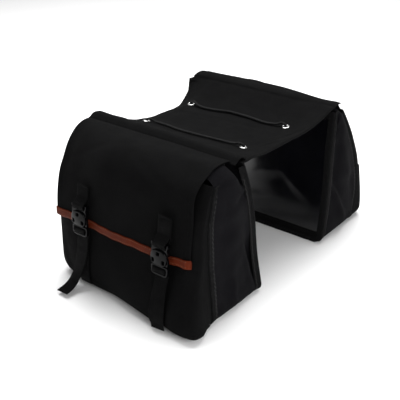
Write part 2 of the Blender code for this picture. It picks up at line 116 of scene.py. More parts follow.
# Flap sections as (u, z) pairs, from the seam over the top to the lower edge.
FLAP_LINES = {
    "left": {
        "fore": [(0.1440, 0.2550), (0.1500, 0.2590), (0.1640, 0.2640), (0.1830, 0.2600), (0.1990, 0.2490),
                 (0.2130, 0.2350), (0.2230, 0.2200), (0.2320, 0.2020), (0.2390, 0.1800), (0.2450, 0.1550),
                 (0.2500, 0.1195)],
        "middle": [(0.1440, 0.2550), (0.1500, 0.2590), (0.1640, 0.2650), (0.1900, 0.2666), (0.2100, 0.2632),
                   (0.2270, 0.2552), (0.2390, 0.2422), (0.2450, 0.2250), (0.2480, 0.2020), (0.2502, 0.1650),
                   (0.2512, 0.1195)],
        "aft": [(0.1440, 0.2540), (0.1500, 0.2572), (0.1640, 0.2608), (0.1860, 0.2600), (0.2030, 0.2535),
                (0.2190, 0.2460), (0.2310, 0.2350), (0.2380, 0.2190), (0.2405, 0.1960), (0.2440, 0.1620),
                (0.2480, 0.1195)]},
    "right": {
        "fore": [(0.1500, 0.2560), (0.1580, 0.2580), (0.1650, 0.2574), (0.1760, 0.2510), (0.1920, 0.2390),
                 (0.2080, 0.2240), (0.2210, 0.2070), (0.2320, 0.1880), (0.2400, 0.1700), (0.2455, 0.1480),
                 (0.2500, 0.1195)],
        "middle": [(0.1500, 0.2562), (0.1580, 0.2586), (0.1660, 0.2590), (0.1790, 0.2524), (0.1960, 0.2402),
                   (0.2130, 0.2270), (0.2280, 0.2110), (0.2400, 0.1920), (0.2470, 0.1700), (0.2500, 0.1450),
                   (0.2512, 0.1195)],
        "aft": [(0.1500, 0.2552), (0.1570, 0.2558), (0.1630, 0.2524), (0.1720, 0.2420), (0.1840, 0.2265),
                (0.1960, 0.2090), (0.2070, 0.1910), (0.2170, 0.1730), (0.2270, 0.1540), (0.2350, 0.1370),
                (0.2410, 0.1195)]}}
# The rolled hem between the saddle and each flap, as (u, z) pairs from the saddle's side.
HEM_LINES = {
    "left": [(0.1235, 0.2525), (0.1240, 0.2585), (0.1270, 0.2638), (0.1330, 0.2664), (0.1400, 0.2660),
             (0.1458, 0.2628), (0.1500, 0.2598), (0.1512, 0.2582)],
    "right": [(0.1335, 0.2490), (0.1346, 0.2530), (0.1376, 0.2568), (0.1430, 0.2594), (0.1500, 0.2606),
              (0.1560, 0.2602), (0.1578, 0.2586)]}
HEM_AFT_DROP = {"left": 0.0045, "right": 0.0025}

# The saddle's sag along X as (x, depth) pairs.
SAG_LINE = [(-0.156, 0.050), (-0.136, 0.038), (-0.116, 0.031), (-0.096, 0.030), (-0.050, 0.030),
            (0.050, 0.030), (0.096, 0.027), (0.116, 0.025), (0.156, 0.014)]
SADDLE_EDGE_Z = 0.2570
SADDLE_HALF_WIDTH = 0.1375
SADDLE_FLAT = 0.030
SADDLE_VALLEY = 0.020

# Strap sections as (u, z) pairs, as in the CAD source.
UPPER_STRAP = [(0.2508, 0.1920), (0.2524, 0.1650), (0.2534, 0.1580), (0.2550, 0.1535), (0.2553, 0.1500),
               (0.2561, 0.1476), (0.2585, 0.1467), (0.2635, 0.1467), (0.2655, 0.1478), (0.2660, 0.1500),
               (0.2658, 0.1535), (0.2640, 0.1556), (0.2600, 0.1578), (0.2558, 0.1632), (0.2543, 0.1670),
               (0.2525, 0.1960)]
LOWER_STRAP = [(0.2585, 0.0110), (0.2608, 0.0200), (0.2614, 0.0320), (0.2592, 0.0600), (0.2530, 0.0960),
               (0.2546, 0.1030), (0.2566, 0.1076), (0.2600, 0.1086), (0.2636, 0.1078), (0.2648, 0.1050),
               (0.2648, 0.1020), (0.2634, 0.1000), (0.2600, 0.0998), (0.2572, 0.0994), (0.2552, 0.0978),
               (0.2548, 0.0950)]
TAILS = {"fore": [(0.2562, 0.0870), (0.2612, 0.0640), (0.2638, 0.0430), (0.2675, 0.0290), (0.2755, 0.0170),
                  (0.2880, 0.0105), (0.3030, 0.0080)],
         "aft": [(0.2562, 0.0870), (0.2612, 0.0600), (0.2634, 0.0320), (0.2622, 0.0070)]}
# The stretch of a strap's height that moves with its buckle.
BUCKLE_ZONE = (0.0850, 0.1700)


# ---------------------------------------------------------------- numbers and curves

def ease(value, low, high):
    """Rise smoothly from 0 at low to 1 at high."""
    share = np.clip((value - low) / (high - low), 0.0, 1.0)
    return share * share * (3.0 - 2.0 * share)


def run_through(points, count):
    """Even points along a smooth curve through a few given ones."""
    given = np.array(points, float)
    given = np.vstack([2 * given[0] - given[1], given, 2 * given[-1] - given[-2]])
    share = np.linspace(0.0, 1.0, 16, endpoint=False)[:, None]
    dense = []
    for a, b, c, d in zip(given, given[1:], given[2:], given[3:]):
        cubic = (3 * b - a - 3 * c + d) * share ** 3
        square = (2 * a - 5 * b + 4 * c - d) * share ** 2
        dense.append(0.5 * (2 * b + (c - a) * share + square + cubic))
    return resample(np.vstack([*dense, given[-2][None]]), count)


def resample(points, count):
    """Even points along a polyline."""
    along = lengths(points)
    even = np.linspace(0.0, along[-1], count)
    return np.stack([np.interp(even, along, points[:, k]) for k in range(points.shape[1])], axis=1)


def lengths(points):
    """Distance along a polyline at each of its points."""
    return np.concatenate([[0.0], np.cumsum(np.linalg.norm(np.diff(points, axis=0), axis=1))])


def unit(vectors):
    """Rows of vectors, each scaled to length 1."""
    return vectors / np.linalg.norm(vectors, axis=1, keepdims=True)


def upright(vectors, heading):
    """Unit vectors square to a heading, in the plane of the given ones."""
    return unit(vectors - heading * np.sum(vectors * heading, axis=1, keepdims=True))


def reading(line):
    """A function that reads a smooth line of (value, result) pairs."""
    dense = run_through(line, 160)
    return lambda value: np.interp(value, dense[:, 0], dense[:, 1])


def folds(marks, a, b):
    """Sum of soft ridges.

    Each mark is (middle a, middle b, heading in degrees, half length, half width, height).
    """
    total = np.zeros(np.broadcast(a, b).shape)
    for middle_a, middle_b, heading, half_length, half_width, height in marks:
        turn = math.radians(heading)
        along = (a - middle_a) * math.cos(turn) + (b - middle_b) * math.sin(turn)
        across = (b - middle_b) * math.cos(turn) - (a - middle_a) * math.sin(turn)
        total = total + height * np.exp(-(along / half_length) ** 2 - (across / half_width) ** 2)
    return total


def unevenness(a, b, size, height, seed):
    """Gentle waves of about one size and height; the same for the same seed."""
    dice = np.random.default_rng(seed)
    total = np.zeros(np.broadcast(a, b).shape)
    for _ in range(7):
        turn, phase = dice.uniform(0.0, 2 * math.pi, 2)
        wave = size * dice.uniform(0.6, 1.6)
        total = total + np.sin((a * math.cos(turn) + b * math.sin(turn)) * 2 * math.pi / wave + phase)
    return total * height / 2.6


seam_u = reading(SEAM_LINE)
sloping_seam_u = reading(SLOPING_SEAM)
fore_seam_u = reading(FORE_SEAM)
face_u = reading(FACE_LINE)
inner_u = {label: reading(line) for label, line in INNER_LINES.items()}
sag_depth = reading(SAG_LINE)
bow_x = {label: reading(line) for label, line in BOW_LINES.items()}


def outer_seam(label, x, z):
    """u of a bag's outer seam: it slopes in near the fore end, and near the right bag's aft end."""
    fore = ease(-x, 0.05, 0.155)
    aft = ease(x, -0.10, 0.15) * (label == "right")
    return seam_u(z) * (1 - fore - aft) + fore_seam_u(z) * fore + sloping_seam_u(z) * aft


def flap_sections(label, rows):
    """A flap's three sections, each as even (u, z) points."""
    return {part: run_through(line, rows) for part, line in FLAP_LINES[label].items()}


def between_ends(at, x):
    """Blend what holds at a flap's fore end, middle and aft end."""
    aft = ease(x, 0.02, FLAP_HALF)
    fore = ease(-x, 0.02, FLAP_HALF)
    return at["middle"] + aft * (at["aft"] - at["middle"]) + fore * (at["fore"] - at["middle"])


def flap_room(label, x, z):
    """The largest u at which something still lies behind the flap; free below the flap's edge."""
    at = {part: np.interp(z, line[::-1, 1], line[::-1, 0]) for part, line in flap_sections(label, 60).items()}
    return between_ends(at, x) - 0.0042 + 0.05 * ease(0.116 - z, 0.0, 0.02)


def flap_ceiling(label, x, u):
    """The greatest height at which something still lies under the flap."""
    at = {part: np.interp(u, line[:, 0], line[:, 1]) for part, line in flap_sections(label, 60).items()}
    return between_ends(at, x) - 0.0036


def low_swell(label, x, z):
    """How much further the load pushes the lower face out towards the aft end; the left bag is fuller."""
    swell = {"left": 0.021, "right": 0.003}[label]
    return swell * ease(x, -0.06, 0.15) * ease(0.100 - z, 0.0, 0.08)


def bow(label, x, z):
    """How far the end of a bag bows outwards along X."""
    return np.where(x > 0, bow_x[label](z), -0.35 * bow_x["left"](z)) * ease(np.abs(x), 0.10, 0.16)


def corner_inset(z, radius):
    """How far a round lower corner stands in from a bag's end at a height."""
    drop = np.clip((FLOOR_PATH + radius - z) / radius, 0.0, 1.0)
    return radius * (1.0 - np.sqrt(1.0 - drop * drop))


def hem_drop(label, x):
    """How far a bag's top edge sinks towards the aft end."""
    return HEM_AFT_DROP[label] * ease(x, -0.02, 0.16)


def normals_of(grid):
    """Unit normals of a grid of points, as row direction x column direction."""
    down = np.gradient(grid, axis=0)
    over = np.gradient(grid, axis=1)
    normal = np.cross(down, over)
    return normal / np.maximum(np.linalg.norm(normal, axis=2, keepdims=True), 1e-12)


# ---------------------------------------------------------------- meshes

def add_object(name, mesh, paint):
    """Put a mesh in the scene, smooth and with the named paint."""
    mesh.materials.append(PAINTS[paint])
    mesh.shade_smooth()
    item = bpy.data.objects.new(name, mesh)
    bpy.context.scene.collection.objects.link(item)
    return item


def run_along(grid, axis):
    """Distance from a grid's first row or column to each of its points."""
    steps = np.linalg.norm(np.diff(grid, axis=axis), axis=2)
    return np.insert(np.cumsum(steps, axis=axis), 0, 0.0, axis=axis)


def grid_mesh(name, grid, paint, flip=False):
    """Skin a grid of points; the UV map holds metres along the rows and the columns."""
    rows, columns = grid.shape[:2]
    index = np.arange(rows * columns).reshape(rows, columns)
    faces = np.stack([index[:-1, :-1], index[:-1, 1:], index[1:, 1:], index[1:, :-1]], axis=-1).reshape(-1, 4)
    if flip:
        faces = faces[:, ::-1]
    mesh = bpy.data.meshes.new(name)
    mesh.from_pydata(grid.reshape(-1, 3).tolist(), [], faces.tolist())
    layer = mesh.uv_layers.new(name="cloth")
    places = np.stack([run_along(grid, 1), run_along(grid, 0)], axis=-1).reshape(-1, 2)[faces.reshape(-1)]
    layer.data.foreach_set("uv", places.astype(np.float32).ravel())
    return add_object(name, mesh, paint)


def round_edges(item, width, segments, least_turn):
    """Round the edges that turn by at least so many degrees."""
    bevel = item.modifiers.new("rounding", "BEVEL")
    bevel.width = width
    bevel.segments = segments
    bevel.angle_limit = math.radians(least_turn)
    bevel.harden_normals = True


def sheet(name, grid, kind, paint, flip=False):
    """Skin a grid of points and give the skin the thickness of its kind and soft edges."""
    item = grid_mesh(name, grid, paint, flip)
    solidify = item.modifiers.new("thickness", "SOLIDIFY")
    solidify.thickness = THICKNESS[kind]
    solidify.offset = 0.0
    round_edges(item, 0.0005, 2, 55)
    return item


def hang(piece):
    """Bake a piece's placement into its mesh."""
    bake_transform(piece)


def stand_for(node):
    """Hide the CAD node that a piece stands in for."""
    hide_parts(node)


def weld(item):
    """Join a mesh's doubled points, fill its open ends and turn its faces outwards."""
    bm = bmesh.new()
    bm.from_mesh(item.data)
    bmesh.ops.remove_doubles(bm, verts=bm.verts, dist=1e-6)
    bmesh.ops.holes_fill(bm, edges=[edge for edge in bm.edges if edge.is_boundary], sides=0)
    bmesh.ops.recalc_face_normals(bm, faces=bm.faces)
    bm.to_mesh(item.data)
    bm.free()
    return item


def sweep(name, path, outline, across, paint):
    """Carry a closed (across, out) outline along a path, with closed ends."""
    heading = unit(np.gradient(path, axis=0))
    wide = upright(np.broadcast_to(np.asarray(across, float), path.shape), heading)
    out = np.cross(wide, heading)
    ring = np.vstack([outline, outline[:1]])[None, :, :]
    grid = path[:, None, :] + wide[:, None, :] * ring[:, :, :1] + out[:, None, :] * ring[:, :, 1:]
    return weld(grid_mesh(name, grid, paint))


def circle(radius, sides):
    """Outline of a round cord."""
    turns = np.linspace(0.0, 2 * math.pi, sides, endpoint=False)
    return radius * np.stack([np.cos(turns), np.sin(turns)], axis=1)


def band(half_width, thickness):
    """Outline of a flat woven band with round edges."""
    radius = thickness / 2
    turns = np.linspace(-math.pi / 2, math.pi / 2, 5)
    right = np.stack([half_width - radius + radius * np.cos(turns), radius * np.sin(turns)], axis=1)
    flat = np.linspace(half_width - radius, radius - half_width, 9)[1:-1]
    top = np.stack([flat, np.full(len(flat), radius)], axis=1)
    return np.vstack([right, top, -right, -top])


def thread(length, radius):
    """Points of one raised stitch as (along, beside, out) offsets, and its faces."""
    sides = 6
    turns = np.linspace(0.0, 2 * math.pi, sides, endpoint=False)
    rings = [(-0.5, 0.35, -0.9), (-0.3, 0.95, 0.1), (0.0, 1.0, 0.3), (0.3, 0.95, 0.1), (0.5, 0.35, -0.9)]
    points = [(place * length, width * radius * math.cos(turn), radius * (lift + width * math.sin(turn)))
              for place, width, lift in rings for turn in turns]
    last = len(points) - sides
    faces = []
    for ring in range(0, last, sides):
        for k in range(sides):
            after = (k + 1) % sides
            faces.append((ring + k, ring + after, ring + sides + after, ring + sides + k))
    caps = [tuple(reversed(range(sides))), tuple(range(last, last + sides))]
    return np.array(points), faces + caps


def stitch_row(name, path, out, paint, spacing=0.0034, length=0.0024, radius=0.00032, slant=0.0):
    """Short raised threads along a path; `out` points away from the cloth. A slant makes a zigzag."""
    along = lengths(path)
    count = max(2, int(along[-1] / spacing))
    middles = (np.arange(count) + 0.5) * along[-1] / count

    def at_middles(values):
        return np.stack([np.interp(middles, along, values[:, k]) for k in range(3)], axis=1)

    centre = at_middles(path)
    heading = unit(at_middles(np.gradient(path, axis=0)))
    out = upright(at_middles(np.broadcast_to(np.asarray(out, float), path.shape)), heading)
    sign = np.where(np.arange(count) % 2 == 0, 1.0, -1.0)[:, None]
    heading = unit(heading + np.cross(out, heading) * (sign * math.tan(math.radians(slant))))
    beside = np.cross(out, heading)
    local, faces = thread(length, radius)
    world = (centre[:, None, :] + heading[:, None, :] * local[None, :, :1]
             + beside[:, None, :] * local[None, :, 1:2] + out[:, None, :] * local[None, :, 2:])
    every = [tuple(v + n * len(local) for v in face) for n in range(count) for face in faces]
    mesh = bpy.data.meshes.new(name)
    mesh.from_pydata(world.reshape(-1, 3).tolist(), [], every)
    return add_object(name, mesh, paint)


def turned(name, profile, place, normal, paint):
    """Turn a closed (radius, height) profile about an axis through a place."""
    turns = np.linspace(0.0, 2 * math.pi, 41)[:, None]
    radius, height = np.array([*profile, profile[0]], float).T
    grid = np.stack([radius * np.cos(turns), radius * np.sin(turns), height + 0.0 * turns], axis=-1)
    item = weld(grid_mesh(name, grid, paint))
    turn = Vector((0.0, 0.0, 1.0)).rotation_difference(normal).to_matrix().to_4x4()
    item.data.transform(Matrix.Translation(place) @ turn)
    return item


def block(name, outline, near, far):
    """Extrude an (x, z) outline from y = near to y = far, in plastic."""
    bm = bmesh.new()
    face = bm.faces.new([bm.verts.new((x, near, z)) for x, z in outline])
    moved = bmesh.ops.extrude_face_region(bm, geom=[face])["geom"]
    corners = [item for item in moved if isinstance(item, bmesh.types.BMVert)]
    bmesh.ops.translate(bm, vec=(0.0, far - near, 0.0), verts=corners)
    bmesh.ops.recalc_face_normals(bm, faces=bm.faces)
    mesh = bpy.data.meshes.new(name)
    bm.to_mesh(mesh)
    bm.free()
    return add_object(name, mesh, "plastic")


def plate(name, outline, low, high, holes=(), rounding=0.0010):
    """A plastic plate between the depths low and high, with its holes cut and its edges rounded."""
    item = block(name, outline, low, high)
    cutters = [block(f"{name}_cutter_{number}", hole, low - 0.002, high + 0.002)
               for number, hole in enumerate(holes)]
    for cutter in cutters:
        cut = item.modifiers.new("cut", "BOOLEAN")
        cut.operation = "DIFFERENCE"
        cut.object = cutter
    round_edges(item, rounding, 3, 35)
    bake_modifiers(item)
    for cutter in cutters:
        bpy.data.objects.remove(cutter, do_unlink=True)
    return item


def bake_modifiers(item):
    """Apply all of an object's modifiers to its mesh."""
    bpy.context.view_layer.update()
    evaluated = item.evaluated_get(bpy.context.evaluated_depsgraph_get())
    item.data = bpy.data.meshes.new_from_object(evaluated)
    item.modifiers.clear()


def rounded(half_x, low_z, high_z, radius, centre_x=0.0):
    """Outline of a rectangle with round corners, as (x, z) pairs."""
    steps = 4
    reach, low, high = half_x - radius, low_z + radius, high_z - radius
    points = []
    corners = ((reach, high, 0), (-reach, high, 90), (-reach, low, 180), (reach, low, 270))
    for corner_x, corner_z, start in corners:
        for step in range(steps + 1):
            turn = math.radians(start + 90 * step / steps)
            points.append((centre_x + corner_x + radius * math.cos(turn), corner_z + radius * math.sin(turn)))
    return points


# ---------------------------------------------------------------- materials

class Paint:
    """A material under construction: its node tree and Principled shader."""

    def __init__(self, name, color, roughness, metallic=0.0, specular=0.5, sheen=0.0):
        self.material = bpy.data.materials.new(name)
        self.material.use_nodes = True
        self.tree = self.material.node_tree
        self.inputs = self.tree.nodes["Principled BSDF"].inputs
        self.color = color
        start = {"Base Color": (*color, 1.0), "Roughness": roughness, "Metallic": metallic,
                 "Specular IOR Level": specular, "Sheen Weight": sheen, "Sheen Roughness": 0.45}
        for socket, value in start.items():
            self.inputs[socket].default_value = value

    def node(self, kind, **values):
        """A new node with the given settings."""
        node = self.tree.nodes.new(kind)
        for name, value in values.items():
            setattr(node, name, value)
        return node

    def link(self, source, target):
        self.tree.links.new(source, target)

    def math(self, operation, a, b=0.0):
        """The result of a maths node on two numbers or sockets."""
        node = self.node("ShaderNodeMath", operation=operation)
        for socket, value in zip(node.inputs, (a, b)):
            if isinstance(value, (int, float)):
                socket.default_value = value
            else:
                self.link(value, socket)
        return node.outputs[0]

    def place(self, kind="Object"):
        """Each point's coordinates, on the object or on its UV map."""
        return self.node("ShaderNodeTexCoord").outputs[kind]

    def noise(self, scale, detail, roughness=0.55):
        """Noise of the given scale per metre, as a value near 0.5."""
        node = self.node("ShaderNodeTexNoise")
        self.link(self.place(), node.inputs["Vector"])
        for socket, value in (("Scale", scale), ("Detail", detail), ("Roughness", roughness)):
            node.inputs[socket].default_value = value
        return node.outputs["Fac"]

    def weave(self, pitch_u, pitch_v, twill=0.0):
        """Threads that pass over and under each other, from the cloth's own UV map."""
        split = self.node("ShaderNodeSeparateXYZ")
        self.link(self.place("UV"), split.inputs[0])
        shifted = self.math("ADD", split.outputs[0], self.math("MULTIPLY", split.outputs[1], twill))
        warp = self.math("SINE", self.math("MULTIPLY", shifted, 2 * math.pi / pitch_u))
        weft = self.math("SINE", self.math("MULTIPLY", split.outputs[1], 2 * math.pi / pitch_v))
        return self.math("MULTIPLY", warp, weft)

    def curve(self, value, low, high, start=0.0, end=1.0):
        """Stretch a value from low..high to start..end."""
        node = self.node("ShaderNodeMapRange")
        self.link(value, node.inputs["Value"])
        for socket, number in zip(("From Min", "From Max", "To Min", "To Max"), (low, high, start, end)):
            node.inputs[socket].default_value = number
        return node.outputs["Result"]

    def tint(self, share, other):
        """Mix the base colour so far with another, by a share from 0 to 1."""
        node = self.node("ShaderNodeMix", data_type="RGBA")
        target = self.inputs["Base Color"]
        if target.is_linked:
            self.link(target.links[0].from_socket, node.inputs[6])
        else:
            node.inputs[6].default_value = target.default_value
        node.inputs[7].default_value = (*other, 1.0)
        self.link(share, node.inputs[0])
        self.link(node.outputs[2], target)

    def stain(self, noise, low, high, amount, factor):
        """Mix in the base colour times a factor as a noise rises from low to high."""
        self.tint(self.curve(self.noise(*noise), low, high, 0.0, amount), shade(self.color, factor))

    def wear(self, noise, low, high, start, end):
        """Take the roughness from start to end as a noise rises from low to high."""
        self.link(self.curve(self.noise(*noise), low, high, start, end), self.inputs["Roughness"])

    def bump(self, height, distance, strength):
        """Add a relief of the given depth in metres on top of the relief so far."""
        node = self.node("ShaderNodeBump")
        node.inputs["Distance"].default_value = distance
        node.inputs["Strength"].default_value = strength
        self.link(height, node.inputs["Height"])
        target = self.inputs["Normal"]
        if target.is_linked:
            self.link(target.links[0].from_socket, node.inputs["Normal"])
        self.link(node.outputs["Normal"], target)


def shade(color, factor):
    """A colour times a factor."""
    return tuple(channel * factor for channel in color)


def cloth_paint(name, color, speckle, pitch=0.0011, lint=0.735):
    """Black woven canvas: fine threads, slubs, faint dusty patches, and more lint the lower its threshold."""
    paint = Paint(name, color, 0.86, specular=0.035, sheen=0.004)
    paint.stain((900, 2.0), 0.42, 0.72, speckle, 3.4)
    paint.stain((14, 3.0), 0.40, 0.75, 0.55, 1.7)
    paint.stain((420, 1.0, 0.9), lint, lint + 0.045, 0.55, 9.0)
    paint.wear((30, 2.0), 0.3, 0.7, 0.80, 0.92)
    paint.bump(paint.weave(pitch, pitch), 0.00016, 0.8)
    paint.bump(paint.noise(700, 2.0), 0.00022, 0.7)
    paint.bump(paint.noise(60, 2.0), 0.0006, 0.5)
    return paint.material


def coated_paint():
    """Smooth coated fabric, which mirrors its surroundings softly."""
    paint = Paint("coated", (0.0014, 0.0014, 0.0021), 0.20, specular=0.48)
    paint.stain((22, 3.0), 0.45, 0.70, 0.6, 1.8)
    paint.wear((40, 2.0), 0.3, 0.8, 0.15, 0.22)
    paint.bump(paint.noise(14, 1.0), 0.0022, 0.5)
    paint.bump(paint.noise(90, 2.0), 0.00012, 0.3)
    return paint.material


def webbing_paint():
    """Woven strap with ribs across it and a little lint."""
    paint = Paint("webbing", (0.0018, 0.0018, 0.0019), 0.72, specular=0.045, sheen=0.006)
    ribs = paint.weave(0.0016, 0.0022, 0.6)
    paint.tint(paint.curve(ribs, 0.1, 1.0, 0.0, 0.65), shade(paint.color, 2.4))
    paint.stain((500, 2.0), 0.62, 0.74, 0.6, 4.0)
    paint.wear((80, 2.0), 0.3, 0.7, 0.62, 0.80)
    paint.bump(ribs, 0.00028, 0.9)
    paint.bump(paint.noise(800, 2.0), 0.00012, 0.5)
    return paint.material


def leather_paint():
    """Rust-brown leather with pores, creases, rubbed lighter places and darker ones."""
    paint = Paint("leather", (0.072, 0.0105, 0.0026), 0.50, specular=0.06)
    paint.stain((45, 4.0), 0.40, 0.70, 0.7, 1.55)
    paint.stain((260, 3.0), 0.52, 0.75, 0.7, 0.55)
    pores = paint.node("ShaderNodeTexVoronoi", feature="DISTANCE_TO_EDGE")
    paint.link(paint.place(), pores.inputs["Vector"])
    pores.inputs["Scale"].default_value = 900
    paint.wear((120, 3.0), 0.3, 0.7, 0.42, 0.66)
    paint.bump(paint.curve(pores.outputs["Distance"], 0.0, 0.12), 0.00014, 0.7)
    paint.bump(paint.noise(110, 3.0), 0.0005, 0.5)
    return paint.material


def plastic_paint():
    """Moulded black plastic: glossy, with a faint moulding grain and soft waves."""
    paint = Paint("plastic", (0.0011, 0.0011, 0.0014), 0.14, specular=0.085)
    paint.stain((90, 3.0), 0.50, 0.72, 0.6, 1.9)
    paint.wear((300, 4.0, 0.7), 0.3, 0.75, 0.08, 0.18)
    paint.bump(paint.noise(1500, 2.0), 0.00003, 0.6)
    paint.bump(paint.noise(130, 2.0), 0.0002, 0.35)
    return paint.material


def steel_paint():
    """Bright plated steel with soft wear in its polish."""
    paint = Paint("steel", (0.80, 0.80, 0.79), 0.22, metallic=1.0)
    paint.tint(paint.curve(paint.noise(240, 4.0), 0.55, 0.75, 0.0, 0.5), (0.42, 0.41, 0.39))
    paint.wear((420, 3.0), 0.3, 0.8, 0.14, 0.36)
    paint.bump(paint.noise(300, 2.0), 0.00008, 0.5)
    return paint.material


def cord_paint():
    """Braided cord: crossing diagonal strands."""
    paint = Paint("cord", (0.0036, 0.0036, 0.0038), 0.66, specular=0.14, sheen=0.015)
    braid = paint.weave(0.0023, 0.0016, 0.8)
    paint.tint(paint.curve(braid, 0.0, 1.0, 0.0, 0.7), shade(paint.color, 2.3))
    paint.wear((200, 2.0), 0.3, 0.7, 0.55, 0.75)
    paint.bump(braid, 0.0004, 0.9)
    return paint.material


def thread_paint(name, color, specular=0.3):
    """Twisted sewing thread."""
    paint = Paint(name, color, 0.6, specular=specular, sheen=0.05 * specular)
    paint.stain((1200, 2.0), 0.4, 0.7, 0.6, 0.5)
    paint.bump(paint.noise(2500, 1.0), 0.00006, 0.7)
    return paint.material


def board_paint():
    """Grey fibre board."""
    paint = Paint("board", (0.050, 0.049, 0.047), 0.7, specular=0.3)
    paint.stain((260, 4.0), 0.4, 0.7, 0.8, 1.7)
    paint.wear((100, 2.0), 0.3, 0.7, 0.6, 0.8)
    paint.bump(paint.noise(600, 3.0), 0.0002, 0.6)
    return paint.material


def floor_paint():
    """Seamless studio paper."""
    paint = Paint("paper", (0.95, 0.95, 0.95), 0.9, specular=0.1)
    paint.tint(paint.curve(paint.noise(3, 2.0), 0.3, 0.7, 0.0, 0.3), (0.97, 0.97, 0.97))
    return paint.material


PAINTS = {
    "canvas": cloth_paint("canvas", (0.0025, 0.0025, 0.0026), 0.30),
    "gusset_canvas": cloth_paint("gusset_canvas", (0.0024, 0.0023, 0.0028), 0.60, 0.0014, 0.70),
    "seam_canvas": cloth_paint("seam_canvas", (0.0024, 0.0024, 0.0025), 0.80, lint=0.62),
    "coated": coated_paint(),
    "webbing": webbing_paint(),
    "leather": leather_paint(),
    "plastic": plastic_paint(),
    "steel": steel_paint(),
    "cord": cord_paint(),
    "thread": thread_paint("thread", (0.026, 0.025, 0.025), 0.2),
    "dark_thread": thread_paint("dark_thread", (0.0032, 0.0032, 0.0032), 0.05),
    "pale_thread": thread_paint("pale_thread", (0.22, 0.095, 0.050)),
    "board": board_paint(),
    "paper": floor_paint(),
}


# ---------------------------------------------------------------- camera, floor and light

def make_camera():
    """Camera at the photograph's viewing angle."""
    azimuth, elevation, roll = math.radians(40.17), math.radians(27.54), math.radians(-1.93)
    back = Vector((math.sin(azimuth) * math.cos(elevation), -math.cos(azimuth) * math.cos(elevation),
                   math.sin(elevation)))
    right = Vector((math.cos(azimuth), math.sin(azimuth), 0.0))
    up = back.cross(right)
    right, up = right * math.cos(roll) + up * math.sin(roll), up * math.cos(roll) - right * math.sin(roll)
    data = bpy.data.cameras.new("camera")
    data.lens = 69.67
    data.clip_end = 50.0
    camera = bpy.data.objects.new("camera", data)
    turn = Matrix((right, up, back)).transposed().to_4x4()
    place = (0.7876, -0.9812, 0.7414)
    camera.matrix_world = Matrix.Translation(place) @ turn
    bpy.context.scene.collection.objects.link(camera)
    bpy.context.scene.camera = camera


def make_light(name, place, aim, size, power):
    """A rectangular area light that the camera doesn't see."""
    data = bpy.data.lights.new(name, "AREA")
    data.shape = "RECTANGLE"
    data.size, data.size_y = size
    data.energy = power
    light = bpy.data.objects.new(name, data)
    light.location = place
    light.rotation_euler = (Vector(aim) - Vector(place)).to_track_quat("-Z", "Y").to_euler()
    light.visible_camera = False
    bpy.context.scene.collection.objects.link(light)


def make_studio():
    """Pale seamless floor, a wide top light behind the bags, a side light and an even surround."""
    half = 6.0
    corners = np.array([[(-half, -half, 0.0), (half, -half, 0.0)], [(-half, half, 0.0), (half, half, 0.0)]])
    floor = grid_mesh("floor", corners - np.array([0.0, 0.0, 0.0002]), "paper")
    middle = (0.0, 0.0, 0.12)
    make_light("top_light", (-0.30, 0.45, 1.90), middle, (1.8, 1.4), 70.0)
    make_light("side_light", (0.72, -0.36, 0.34), (0.16, -0.17, 0.12), (0.5, 0.4), 3.2)
    world = bpy.data.worlds.new("surround")
    world.use_nodes = True
    world.node_tree.nodes["Background"].inputs["Color"].default_value = (1.0, 1.0, 1.0, 1.0)
    world.node_tree.nodes["Background"].inputs["Strength"].default_value = 0.45
    bpy.context.scene.world = world
    bpy.context.scene.view_settings.view_transform = "Standard"


# ---------------------------------------------------------------- the saddle

def saddle_z(x, y):
    """Height of the saddle cloth; its valley lies off centre, and more so at the free front edge."""
    front = ease(-x, 0.105, 0.156)
    valley = SADDLE_VALLEY + 0.026 * front
    from_valley = np.abs(y - valley)
    reach = np.where(y > valley, SADDLE_HALF_WIDTH - valley, SADDLE_HALF_WIDTH + valley)
    slope = np.clip((from_valley - SADDLE_FLAT) / (reach - SADDLE_FLAT), 0.0, 1.0)
    return SADDLE_EDGE_Z - sag_depth(x) * np.cos(math.pi / 2 * slope) ** 1.2


# Folds in the saddle as (x, y, heading, half length, half width, height).
SADDLE_FOLDS = [
    (0.000, 0.034, 5, 0.120, 0.0060, -0.0012),
    (0.120, -0.075, 62, 0.030, 0.0070, 0.0018),
    (0.132, -0.020, 50, 0.026, 0.0060, 0.0020),
    (0.140, 0.030, 70, 0.028, 0.0055, -0.0016),
    (-0.120, -0.060, 118, 0.034, 0.0080, 0.0018),
    (-0.128, 0.075, 80, 0.030, 0.0080, -0.0020),
    (0.040, -0.100, 8, 0.090, 0.0080, -0.0010),
]


def saddle_height(x, y):
    """Height of the saddle cloth with its folds, which fade out towards the eyelets."""
    from_eyelet = np.min([np.hypot(x - place.x, y - place.y) for place in EYELETS.values()], axis=0)
    waves = unevenness(x, y, 0.09, 0.0007, 11)
    ripples = unevenness(x, y, 0.03, 0.00025, 12)
    relief = folds(SADDLE_FOLDS, x, y) + waves + ripples
    return saddle_z(x, y) + relief * np.minimum(1.0, from_eyelet / 0.02) ** 2


def aft_drop(x, y):
    """How far the saddle cloth sinks beside the left bag's aft end."""
    return 0.0030 * ease(x, -0.05, 0.15) * ease(-y, 0.095, 0.128)


